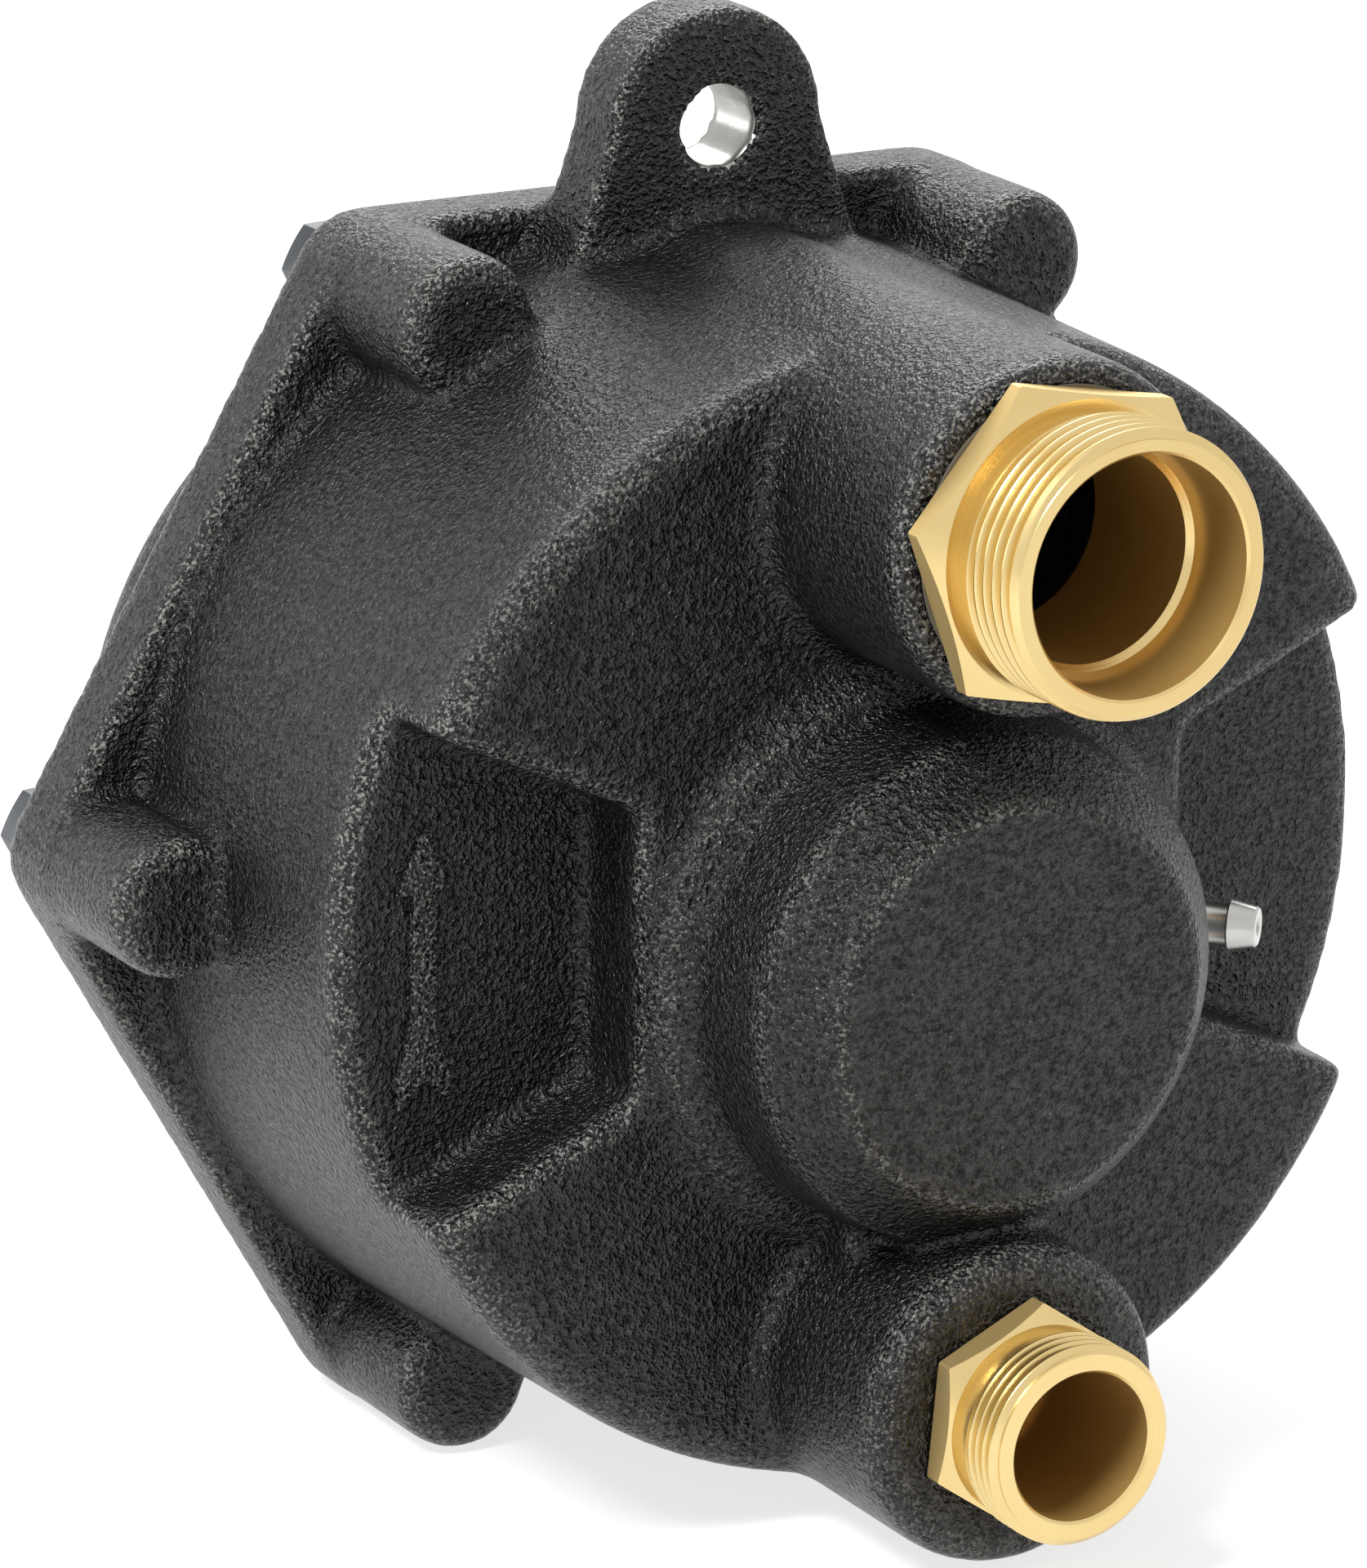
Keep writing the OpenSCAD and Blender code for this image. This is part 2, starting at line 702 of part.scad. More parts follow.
// Nipples
module nipple(thread_r, thread_len, hex_w, hex_turn, mouth_r, throat_r, spigot_r, seat) {
    hex_rear = seat + sealing_ring_t;
    hex_front = hex_rear + nipple_hex_h;
    tip = hex_front + thread_len;
    root_r = thread_r - nipple_undercut_d;
    hex_r = hex_w / 2 * hex_side_share;
    hex_face_r = hex_w / 2 - hex_face_margin;
    hex_far_r = hex_r + cut;
    bevel_h = (hex_far_r - hex_face_r) * tan(hex_bevel_angle);
    difference() {
        union() {
            disc(spigot_r, seat - nipple_spigot_len, hex_rear + cut);
            intersection() {
                rotate([0, 0, hex_turn]) hexagon(hex_w, hex_rear, hex_front);
                rotate_extrude() polygon([[0, hex_rear], [hex_face_r, hex_rear], [hex_far_r,
                    hex_rear + bevel_h],
                    [hex_far_r, hex_front - bevel_h], [hex_face_r, hex_front], [0, hex_front]]);
            }
            rotate_extrude() polygon([[0, hex_front - cut], [root_r, hex_front - cut],
                [root_r, hex_front + nipple_undercut_w - nipple_chamfer],
                [thread_r, hex_front + nipple_undercut_w], [thread_r, tip - nipple_chamfer],
                [thread_r - nipple_chamfer, tip], [0, tip]]);
        }
        disc(throat_r, seat - nipple_spigot_len - cut, tip);
        disc(mouth_r, tip - nipple_mouth_depth, tip + cut);
    }
}

module suction_nipple() {
    color("#b99a45") place() at_suction() nipple(suction_thread_r, suction_thread_len, suction_hex_w,
        suction_hex_turn, suction_mouth_r, suction_throat_r, suction_thread_r, drum_depth + suction_boss_h);
}

module pressure_nipple() {
    color("#b99a45") place() at_pressure() nipple(pressure_thread_r, pressure_thread_len, pressure_hex_w,
        pressure_hex_turn, pressure_mouth_r, pressure_throat_r, pressure_spigot_r,
        drum_depth + pressure_boss_h);
}

module sealing_ring(bore_r, hex_w, seat) {
    ring(hex_w / 2 - nipple_sealing_lip, bore_r + fit, seat, seat + sealing_ring_t);
}

module suction_sealing_ring() {
    color("#4a4a46") place() at_suction()
        sealing_ring(suction_thread_r, suction_hex_w + 2 * nipple_chamfer, drum_depth + suction_boss_h);
}

module pressure_sealing_ring() {
    color("#4a4a46") place() at_pressure()
        sealing_ring(pressure_spigot_r, pressure_hex_w, drum_depth + pressure_boss_h);
}

// Grease nipple
module grease_nipple() {
    head_rear = grease_hex_h + grease_neck_len;
    color("#c9c6bd") place() at_grease() difference() {
        union() {
            disc(grease_stem_r, -grease_stem_len, cut);
            hexagon(grease_hex_w, 0, grease_hex_h);
            rotate_extrude() polygon([[0, grease_hex_h - cut], [grease_neck_r, grease_hex_h - cut],
                [grease_neck_r, head_rear - cut], [grease_head_r, head_rear], [grease_head_r,
                    head_rear + 2 * cut],
                [grease_tip_r, grease_len], [0, grease_len]]);
        }
        disc(grease_bore_r, -grease_stem_len - cut, grease_len - grease_mouth_len);
        disc(grease_mouth_r, 0, grease_len + cut);
    }
}

module grease_nipple_ball() {
    color("#a9abb0") place() at_grease()
        translate([0, 0, grease_ball_place]) sphere(r = grease_ball_r);
}

module grease_nipple_spring() {
    top = grease_ball_place - grease_ball_r - grease_ball_travel - fit;
    color("#8c8f94") place() at_grease()
        ring(grease_bore_r - fit, grease_bore_r - fit - grease_spring_wall, top - grease_spring_len, top);
}

// Flange fasteners
module cover_bolts() {
    head_front = -gasket_t - cover_flange_t;
    color("#b9bab6") place() at_bolts() {
        hexagon(bolt_head_w, head_front - bolt_head_h, head_front);
        disc(bolt_r, head_front - cut, bolt_depth);
    }
}

module cover_gasket() {
    color("#6b6558") place() difference() {
        rounded_hexagon(cover_corner_r, -gasket_t, 0);
        disc(ring_bore_r + fit, -gasket_t - cut, cut);
        at_bolts() disc(bolt_r + 2 * fit, -gasket_t - cut, cut);
    }
}

// Rear cover
module at_plugs() {
    for (i = [0:plug_count - 1]) rotate([0, 0, first_planet + i * 90]) translate([plug_circle_r, 0, 0])
        children();
}

module rear_cover() {
    dome_r = ring_bore_r + cover_wall;
    dome_rear = cover_floor - cover_wall;
    snout_r = in_bearing_r + snout_wall;
    color("#1c1d1f") place() difference() {
        union() {
            rounded_hexagon(cover_corner_r, -gasket_t - cover_flange_t, -gasket_t);
            rotate([180, 0, 0]) round_boss(dome_r, gasket_t, -dome_rear, cover_edge_r);
            disc(snout_r, cover_rear, dome_rear + cut);
        }
        disc(ring_bore_r, gear_rear, 0);
        disc(ring_bore_r - cover_wall, cover_floor, gear_rear + cut);
        disc(in_bearing_r + fit, in_bearing_rear, cover_floor + cut);
        disc(in_bearing_r + clip_depth, in_bearing_front, in_bearing_front + circlip_t + fit);
        disc(seal_lip_r, in_seal_rear, in_bearing_rear + cut);
        disc(in_seal_r + fit, cover_rear - cut, in_seal_front);
        at_bolts() disc(bolt_r + 2 * fit, -gasket_t - cover_flange_t - cut, 0);
        at_plugs() disc(plug_r + fit, dome_rear - cut, cover_floor + cut);
    }
}

module oil_plugs() {
    seat = cover_floor - cover_wall - plug_washer_t;
    color("#b9bab6") place() at_plugs() {
        hexagon(plug_head_w, seat - plug_head_h, seat);
        disc(plug_r, seat - cut, cover_floor - seal_setback);
    }
}

module oil_plug_washers() {
    seat = cover_floor - cover_wall;
    color("#b06a3c") place() at_plugs() ring(plug_head_w / 2, plug_r + fit, seat - plug_washer_t, seat);
}

// Partition between gears and water
module partition_plate() {
    hub_r = shaft_bearing_r + partition_hub_wall;
    hub_front = seal_seat_front;
    rim_r = chamber_r + partition_seat_w;
    groove_half_w = oring_r + fit;
    color("#5b5e60") place() difference() {
        union() {
            at_centre() disc(rim_r, 0, partition_t);
            ring(ring_r, ring_r - partition_spigot_wall, gear_front, cut);
            disc(hub_r, partition_rear, hub_front);
        }
        disc(shaft_bearing_r + fit, partition_rear - cut, bearing_b_front);
        disc(shaft_bearing_r + clip_depth, bearing_a_rear - circlip_t - fit, bearing_a_rear);
        disc(oil_seal_r + fit, bearing_b_front - cut, oil_seal_front);
        disc(shaft_r + seal_rib_t, oil_seal_front - cut, hub_front);
        disc(oil_seal_r + fit, seal_seat_rear, hub_front + cut);
        at_centre() ring(rim_r + cut, rim_r - 2 * oring_r - fit, partition_t / 2 - groove_half_w,
            partition_t / 2 + groove_half_w);
        at_dowels() disc(dowel_r + fit, gear_front - cut, gear_front + dowel_len / 2 + cut / 2);
    }
}

module partition_o_ring() {
    color("#141414") place() at_centre() translate([0, 0, partition_t / 2]) rotate_extrude()
        translate([chamber_r + partition_seat_w - oring_r, 0]) circle(r = oring_r);
}

// Gears
function involute(a) = tan(a) * 180 / PI - a;

// Half angle of a tooth at radius r, for a pitch radius pr and z teeth
function tooth_half(r, pr, z, play) = 90 / z - play / pr / 2 * 180 / PI
    + involute(pressure_angle) - involute(acos(min(1, pr * cos(pressure_angle) / r)));

function flank(pr, z, r0, r1, play, side, middle) =
    [for (i = [0:flank_steps]) let (r = r0 + (r1 - r0) * (side < 0 ? i : flank_steps - i) / flank_steps,
        a = middle + side * tooth_half(r, pr, z, play)) [r * cos(a), r * sin(a)]];

// Outline of a wheel of z teeth from radius root to radius tip, one tooth at angle turn
function wheel(z, root, tip, play, turn) = let (pr = gear_module * z / 2, base = pr * cos(pressure_angle),
    start = max(base, root)) [for (i = [0:z - 1]) let (middle = turn + i * 360 / z,
        wide = tooth_half(start, pr, z, play)) each concat(
            start > root ? [[root * cos(middle - wide), root * sin(middle - wide)]] : [],
            flank(pr, z, start, tip, play, -1, middle), flank(pr, z, start, tip, play, 1, middle),
            start > root ? [[root * cos(middle + wide), root * sin(middle + wide)]] : [])];

function planet_angle(n) = first_planet + n * planet_step;
function planet_turn(n) = planet_angle(n) + 180 - 180 / planet_teeth + planet_angle(n)
    * sun_teeth / planet_teeth;
ring_turn = planet_angle(0)
    - 360 / ring_teeth * (1 / 2 + (planet_angle(0) - planet_turn(0)) * planet_teeth / 360);

module at_planet(n) {
    rotate([0, 0, planet_angle(n)]) translate([carrier_pitch_r, 0, 0]) rotate([0, 0, -planet_angle(n)])
        children();
}

module at_dowels() {
    for (a = [0, 180]) rotate([0, 0, a]) translate([dowel_circle_r, 0, 0]) children();
}

module ring_gear() {
    pr = gear_module * ring_teeth / 2;
    color("#7d8084") place() difference() {
        disc(ring_r, gear_rear, gear_front);
        translate([0, 0, gear_rear - cut]) linear_extrude(gear_w + 2 * cut)
            polygon(wheel(ring_teeth, pr - addendum_share * gear_module, pr + dedendum_share * gear_module,
                -backlash, ring_turn + 180 / ring_teeth));
        at_dowels() disc(dowel_r + fit, gear_front - dowel_len / 2 - cut / 2, gear_front + cut);
    }
}

module ring_gear_dowels() {
    color("#a9abb0") place() at_dowels() disc(dowel_r, gear_front - dowel_len / 2,
        gear_front + dowel_len / 2);
}

module planet_gear(n) {
    pr = gear_module * planet_teeth / 2;
    color("#8a8d91") place() at_planet(n) translate([0, 0, gear_rear]) linear_extrude(gear_w) difference() {
        polygon(wheel(planet_teeth, pr - dedendum_share * gear_module, pr + addendum_share * gear_module,
            backlash, planet_turn(n)));
        circle(r = planet_pin_r + planet_bush_wall + fit);
    }
}

module planet_bush(n) {
    color("#b58a45") place() at_planet(n)
        ring(planet_pin_r + planet_bush_wall, planet_pin_r + fit, gear_rear, gear_front);
}

module planet_gear_1() { planet_gear(0); }
module planet_gear_2() { planet_gear(1); }
module planet_gear_3() { planet_gear(2); }
module planet_bush_1() { planet_bush(0); }
module planet_bush_2() { planet_bush(1); }
module planet_bush_3() { planet_bush(2); }

module planet_pins() {
    clip_rear = gear_front + clip_gap;
    color("#a9abb0") place() for (n = [0:planet_count - 1]) at_planet(n) difference() {
        disc(planet_pin_r, carrier_rear, gear_front + pin_land);
        ring(planet_pin_r + cut, planet_pin_r - clip_depth / 2, clip_rear, clip_rear + circlip_t + fit);
    }
}

module circlip(r_out, r_in, from) {
    difference() {
        ring(r_out, r_in, from, from + circlip_t);
        translate([0, -clip_slot_w / 2, from - cut]) cube([r_out + cut, clip_slot_w, circlip_t + 2 * cut]);
    }
}

module planet_circlips() {
    color("#3b3c3e") place() for (n = [0:planet_count - 1]) at_planet(n)
        circlip(planet_pin_r + clip_depth, planet_pin_r - clip_depth / 2 + fit, gear_front + clip_gap);
}

// Input hub
module spline_bore() {
    translate([0, 0, mouth - cut]) linear_extrude(spline_depth + cut) union() {
        circle(r = spline_minor_r);
        intersection() {
            circle(r = spline_major_r);
            for (i = [0:spline_count - 1]) rotate([0, 0, i * 360 / spline_count])
                translate([0, -spline_w / 2]) square([spline_major_r + cut, spline_w]);
        }
    }
}

module at_lock_pin() {
    translate([0, 0, mouth + lock_pin_set]) rotate([-90, 0, 0]) children();
}

module input_hub() {
    color("#8a8d91") place() difference() {
        union() {
            disc(collar_r, mouth, collar_front);
            disc(sleeve_r, mouth, carrier_rear + cut);
            disc(hub_shoulder_r, in_bearing_front, carrier_rear + cut);
            disc(carrier_r, carrier_rear, carrier_front);
        }
        disc(lead_in_r, mouth - cut, mouth + lead_in_len);
        spline_bore();
        for (n = [0:planet_count - 1]) at_planet(n) disc(planet_pin_r + fit, carrier_rear - cut,
            carrier_front + cut);
        at_lock_pin() disc(lock_pin_r + fit, 0, collar_r);
        at_lock_pin() disc(lock_bore_r + fit, lock_step_r, collar_r + cut);
    }
}

module hub_lock_pin() {
    button = collar_r + lock_button_gap;
    color("#b9bab6") place() at_lock_pin() {
        disc(lock_pin_r, lock_pin_tip_r, button + cut);
        disc(lock_flange_r, lock_step_r + fit, lock_step_r + lock_flange_t);
        disc(lock_button_r, button, button + lock_button_t);
    }
}

module hub_lock_spring() {
    color("#8c8f94") place() at_lock_pin() ring(lock_pin_r + fit * 2 + lock_spring_wall, lock_pin_r + fit * 2,
        lock_step_r + lock_flange_t, collar_r - lock_screw_t);
}

module hub_lock_screw() {
    color("#8c8f94") place() at_lock_pin() ring(lock_bore_r, lock_pin_r + fit, collar_r - lock_screw_t,
        collar_r);
}

// Bearings: the balls run in round grooves of both rings
module bearing_outer(r_out, r_in, ball_r, width, from) {
    pitch = (r_out + r_in) / 2;
    difference() {
        ring(r_out, pitch + ball_r * ring_shoulder_share, from, from + width);
        ball_track(pitch, ball_r, from + width / 2);
    }
}

module bearing_inner(r_out, r_in, ball_r, width, from) {
    pitch = (r_out + r_in) / 2;
    difference() {
        ring(pitch - ball_r * ring_shoulder_share, r_in, from, from + width);
        ball_track(pitch, ball_r, from + width / 2);
    }
}

module ball_track(pitch, ball_r, middle) {
    translate([0, 0, middle]) rotate_extrude() translate([pitch, 0]) circle(r = ball_r + groove_play);
}

module balls(pitch, ball_r, count, middle) {
    for (i = [0:count - 1]) rotate([0, 0, i * 360 / count]) translate([pitch, 0, middle]) sphere(r = ball_r);
}

module cage(pitch, ball_r, count, middle) {
    half_t = ball_r * cage_half_t_share;
    half_w = ball_r + cage_play + cage_side;
    difference() {
        ring(pitch + half_t, pitch - half_t, middle - half_w, middle + half_w);
        for (i = [0:count - 1]) rotate([0, 0, i * 360 / count]) translate([pitch - half_t - cut, 0, middle])
            rotate([0, 90, 0]) cylinder(r = ball_r + cage_play, h = 2 * half_t + 2 * cut);
    }
}

in_pitch_r = (in_bearing_r + sleeve_r) / 2;
in_middle = (in_bearing_rear + in_bearing_front) / 2;
shaft_pitch_r = (shaft_bearing_r + shaft_r) / 2;

module input_bearing_outer() {
    color("#a9abb0") place() bearing_outer(in_bearing_r, sleeve_r, in_ball_r, in_bearing_w, in_bearing_rear);
}

module input_bearing_inner() {
    color("#a9abb0") place() bearing_inner(in_bearing_r, sleeve_r + fit, in_ball_r, in_bearing_w,
        in_bearing_rear);
}

module input_bearing_balls() {
    color("#c3c5c9") place() balls(in_pitch_r, in_ball_r, in_ball_count, in_middle);
}

module input_bearing_cage() {
    color("#a8894a") place() cage(in_pitch_r, in_ball_r, in_ball_count, in_middle);
}

module input_bearing_circlip() {
    color("#3b3c3e") place() circlip(in_bearing_r + clip_depth - fit, in_bearing_r - bearing_lip_w,
        in_bearing_front);
}

module lip_seal(r_out, r_in, width, from) {
    lip = (r_out - r_in) / 3;
    rotate_extrude() polygon([[r_out, from], [r_out, from + width], [r_out - lip, from + width],
        [r_out - lip, from + width / 3], [r_in + lip, from + width / 3], [r_in, from + width / 2],
        [r_in, from + width / 4], [r_in + lip / 2, from]]);
}

module input_oil_seal() {
    color("#3a2c28") place() lip_seal(in_seal_r, sleeve_r + fit, in_seal_w, in_seal_rear);
}

// Pump shaft with the sun gear's teeth
module pump_shaft() {
    pr = gear_module * sun_teeth / 2;
    collar = shaft_r + circlip_land;
    color("#9a9da1") place() difference() {
        union() {
            translate([0, 0, gear_rear]) linear_extrude(gear_w + sun_overhang)
                polygon(wheel(sun_teeth, pr - dedendum_share * gear_module, pr + addendum_share * gear_module,
                    backlash, 0));
            disc(collar, gear_front + sun_overhang, bearing_a_rear);
            disc(shaft_r, bearing_a_rear - cut, impeller_rear);
            disc(impeller_seat_r, impeller_rear - cut, vane_front - cut);
            disc(shaft_thread_r, vane_front - 2 * cut, nut_front + thread_spare);
            disc(journal_r, nut_front, bush_front - cut);
        }
        ring(shaft_r + cut, shaft_r - clip_depth / 2, bearing_b_front, bearing_b_front + circlip_t + fit);
        translate([-key_w / 2 - fit, key_seat, impeller_rear + key_end])
            cube([key_w + 2 * fit, shaft_r, vane_front - impeller_rear - 2 * key_end]);
    }
}

nut_front = vane_front + impeller_washer_t + impeller_nut_h;

module shaft_bearing_outers() {
    color("#a9abb0") place() for (from = [bearing_a_rear, bearing_b_rear])
        bearing_outer(shaft_bearing_r, shaft_r, shaft_ball_r, shaft_bearing_w, from);
}

module shaft_bearing_inners() {
    color("#a9abb0") place() for (from = [bearing_a_rear, bearing_b_rear])
        bearing_inner(shaft_bearing_r, shaft_r + fit, shaft_ball_r, shaft_bearing_w, from);
}

module shaft_bearing_balls() {
    color("#c3c5c9") place() for (from = [bearing_a_rear, bearing_b_rear])
        balls(shaft_pitch_r, shaft_ball_r, shaft_ball_count, from + shaft_bearing_w / 2);
}

module shaft_bearing_cages() {
    color("#a8894a") place() for (from = [bearing_a_rear, bearing_b_rear])
        cage(shaft_pitch_r, shaft_ball_r, shaft_ball_count, from + shaft_bearing_w / 2);
}

module shaft_bearing_circlip() {
    color("#3b3c3e") place() circlip(shaft_bearing_r + clip_depth - fit, shaft_bearing_r - circlip_land,
        bearing_a_rear - circlip_t);
}

module shaft_spacer() {
    color("#9a9da1") place() ring(shaft_r + circlip_land, shaft_r + fit, bearing_a_front, bearing_b_rear);
}

module shaft_circlip() {
    color("#3b3c3e") place() circlip(shaft_r + circlip_land, shaft_r - clip_depth / 2 + fit, bearing_b_front);
}

module shaft_oil_seal() {
    color("#3a2c28") place() lip_seal(oil_seal_r, shaft_r + fit, oil_seal_w, oil_seal_rear);
}

// Water seal
module water_seal_seat() {
    color("#c8c3b6") place() ring(oil_seal_r, shaft_r + seal_rib_t / 2, seal_seat_rear, seal_seat_front);
}

module water_seal_face() {
    color("#2e2e30") place() ring(shaft_r + seal_face_wall, shaft_r + fit, seal_seat_front + fit,
        seal_face_front);
}

module water_seal_bellows() {
    fold = seal_bellows_len / 4;
    r_in = shaft_r + fit;
    color("#141414") place() rotate_extrude() polygon([[r_in, seal_face_front], [r_in, impeller_rear],
        [r_in + bellows_t, impeller_rear],
        [r_in + bellows_t / 2, impeller_rear - fold], [r_in + bellows_t, impeller_rear - 2 * fold],
        [r_in + bellows_t / 2, impeller_rear - 3 * fold], [r_in + bellows_t - 2 * fit, seal_face_front]]);
}

// Impeller: backward curved vanes for clockwise rotation seen from the front
module vane(turn) {
    span = impeller_r - vane_tip_margin - vane_foot_r;
    inner = [for (i = [0:vane_steps]) let (r = vane_foot_r + span * i / vane_steps,
        a = turn + vane_sweep * i / vane_steps) [r * cos(a), r * sin(a)]];
    outer = [for (i = [vane_steps:-1:0]) let (r = vane_foot_r + span * i / vane_steps,
        a = turn + vane_sweep * i / vane_steps + vane_t / r * 180 / PI) [r * cos(a), r * sin(a)]];
    polygon(concat(inner, outer));
}

module impeller() {
    color("#8d7440") place() difference() {
        union() {
            disc(impeller_r, impeller_rear, vane_rear);
            disc(impeller_hub_r, impeller_rear, vane_front);
            translate([0, 0, vane_rear - cut]) linear_extrude(vane_depth + cut)
                for (i = [0:vane_count - 1]) vane(i * 360 / vane_count);
        }
        disc(impeller_seat_r + fit, impeller_rear - cut, vane_front + cut);
        translate([-key_w / 2 - fit, 0, impeller_rear - cut])
            cube([key_w + 2 * fit, key_seat + key_h + fit, vane_front - impeller_rear + 2 * cut]);
    }
}

module impeller_key() {
    color("#a9abb0") place() translate([-key_w / 2, key_seat + fit, impeller_rear + key_end + fit])
        cube([key_w, key_h - fit, vane_front - impeller_rear - 2 * key_end - 2 * fit]);
}

module impeller_washer() {
    color("#b9bab6") place() ring(washer_r, shaft_thread_r + fit, vane_front, vane_front + impeller_washer_t);
}

module impeller_nut() {
    color("#b9bab6") place() difference() {
        hexagon(impeller_nut_w, vane_front + impeller_washer_t, nut_front);
        disc(shaft_thread_r + fit, vane_front, nut_front + cut);
    }
}

// Wear plate between impeller and channels
module wear_plate() {
    color("#6d7072") place() difference() {
        at_centre() disc(chamber_r - fit, wear_rear, wear_front);
        disc(eye_r, wear_rear - cut, wear_front + cut);
        translate([0, 0, wear_rear - cut]) linear_extrude(wear_plate_t + 2 * cut) intersection() {
            translate([0, casing_rise]) circle(r = chamber_r - slot_outer_margin);
            difference() {
                polygon([[0, 0], [-chamber_r * tan(slot_half_angle), -chamber_r],
                    [chamber_r * tan(slot_half_angle), -chamber_r]]);
                circle(r = slot_inner_r);
            }
        }
        at_wear_screws() disc(screw_r + fit, wear_rear - cut, wear_front + cut);
        at_wear_screws() translate([0, 0, wear_rear - fit])
            cylinder(r1 = screw_head_r + fit, r2 = screw_r + fit, h = screw_head_t + fit);
    }
}

module wear_plate_screws() {
    color("#b9bab6") place() at_wear_screws() union() {
        translate([0, 0, wear_rear]) cylinder(r1 = screw_head_r, r2 = screw_r, h = screw_head_t);
        disc(screw_r, wear_rear + cut, wear_rear + screw_len);
    }
}

// Front bush and its seal
module front_shaft_seal() {
    color("#3a2c28") place() lip_seal(journal_r + front_seal_wall, journal_r + fit, front_seal_w,
        front_seal_front - front_seal_w);
}

module front_bush() {
    color("#b58a45") place() ring(journal_r + front_bush_wall, journal_r + fit, bush_rear, bush_front);
}

front_casing();
rear_cover();
cover_gasket();
cover_bolts();
oil_plugs();
oil_plug_washers();
suction_nipple();
suction_sealing_ring();
pressure_nipple();
pressure_sealing_ring();
grease_nipple();
grease_nipple_ball();
grease_nipple_spring();
partition_plate();
partition_o_ring();
ring_gear();
ring_gear_dowels();
input_hub();
hub_lock_pin();
hub_lock_spring();
hub_lock_screw();
input_bearing_outer();
input_bearing_inner();
input_bearing_balls();
input_bearing_cage();
input_bearing_circlip();
input_oil_seal();
planet_pins();
planet_circlips();
planet_gear_1();
planet_gear_2();
planet_gear_3();
planet_bush_1();
planet_bush_2();
planet_bush_3();
pump_shaft();
shaft_bearing_outers();
shaft_bearing_inners();
shaft_bearing_balls();
shaft_bearing_cages();
shaft_bearing_circlip();
shaft_spacer();
shaft_circlip();
shaft_oil_seal();
water_seal_seat();
water_seal_face();
water_seal_bellows();
impeller();
impeller_key();
impeller_washer();
impeller_nut();
wear_plate();
wear_plate_screws();
front_shaft_seal();
front_bush();
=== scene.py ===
"""The looks of a power take-off pump: its camera, light, finishes and dressed pieces.

Pieces are modelled in their own millimetres, with x right, y up and z forward from the
casing flange's rear face, and are then put into the frame, in metres.
"""

import json
import logging
import math
from dataclasses import dataclass
from enum import Enum
from functools import cache
from typing import Sequence

import bmesh
import bpy
from mathutils import Matrix, Vector


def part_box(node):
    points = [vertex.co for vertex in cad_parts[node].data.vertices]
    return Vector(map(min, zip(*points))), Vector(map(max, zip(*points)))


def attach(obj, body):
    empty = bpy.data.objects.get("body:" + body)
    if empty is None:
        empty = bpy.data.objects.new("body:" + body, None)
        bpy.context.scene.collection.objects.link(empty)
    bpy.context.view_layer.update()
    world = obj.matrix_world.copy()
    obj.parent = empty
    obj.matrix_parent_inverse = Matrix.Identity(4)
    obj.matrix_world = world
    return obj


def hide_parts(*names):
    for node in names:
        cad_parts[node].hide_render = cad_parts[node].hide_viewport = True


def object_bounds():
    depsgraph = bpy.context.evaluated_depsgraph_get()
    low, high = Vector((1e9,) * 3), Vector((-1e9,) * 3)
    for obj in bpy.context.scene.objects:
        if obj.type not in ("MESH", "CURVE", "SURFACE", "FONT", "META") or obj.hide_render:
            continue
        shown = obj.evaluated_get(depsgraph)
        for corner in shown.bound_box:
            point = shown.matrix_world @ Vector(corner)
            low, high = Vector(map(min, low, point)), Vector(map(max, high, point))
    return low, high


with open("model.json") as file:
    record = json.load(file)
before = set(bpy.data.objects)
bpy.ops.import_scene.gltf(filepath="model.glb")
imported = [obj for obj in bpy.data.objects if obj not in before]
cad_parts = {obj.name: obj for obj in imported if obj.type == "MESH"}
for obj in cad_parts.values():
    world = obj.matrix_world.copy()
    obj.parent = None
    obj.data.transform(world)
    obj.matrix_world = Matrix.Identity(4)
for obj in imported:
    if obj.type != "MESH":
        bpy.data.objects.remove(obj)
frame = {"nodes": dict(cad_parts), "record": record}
CAD_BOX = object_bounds()

MM = 0.001
FULL_TURN = 2 * math.pi
MERGE_MM = 0.004

log = logging.getLogger("pump")

Profile = Sequence[tuple[float, float]]


class Body(Enum):
    """The bodies that dressed pieces ride on."""

    CASING = "casing"
    INPUT_HUB = "input_hub"
    LOCK_PIN = "lock_pin"


class Join(Enum):
    """The ways that two solids are combined."""

    UNION = "UNION"
    CUT = "DIFFERENCE"
    COMMON = "INTERSECT"


def linear(code: str) -> tuple[float, float, float, float]:
    """Turns an sRGB hex colour into linear red, green, blue and alpha.

    Args:
        code: the colour as written, such as "#1c1d1f".

    Returns:
        Four numbers from 0 to 1.
    """
    parts = [int(code[i:i + 2], 16) / 255 for i in (1, 3, 5)]
    toe, slope, offset, power = 0.04045, 12.92, 0.055, 2.4
    red, green, blue = [c / slope if c <= toe else ((c + offset) / (1 + offset)) ** power for c in parts]
    return red, green, blue, 1.0


def per_mm(size_mm: float) -> float:
    """Gives the texture scale at which one cell of a pattern measures size_mm."""
    return 1 / (size_mm * MM)


def add(tree: bpy.types.NodeTree, kind: str, settings: dict | None = None,
        links: dict | None = None) -> bpy.types.Node:
    """Adds a node with its settings and its links.

    Args:
        tree: the tree that the node joins.
        kind: the node's type name.
        settings: values by property name, or by the name or number of an input.
        links: output sockets by the name or number of the input that each one feeds.

    Returns:
        The new node.
    """
    node = tree.nodes.new(kind)
    for key, value in (settings or {}).items():
        if isinstance(key, int) or key in node.inputs:
            node.inputs[key].default_value = value
        else:
            setattr(node, key, value)
    for key, socket in (links or {}).items():
        tree.links.new(socket, node.inputs[key])
    return node


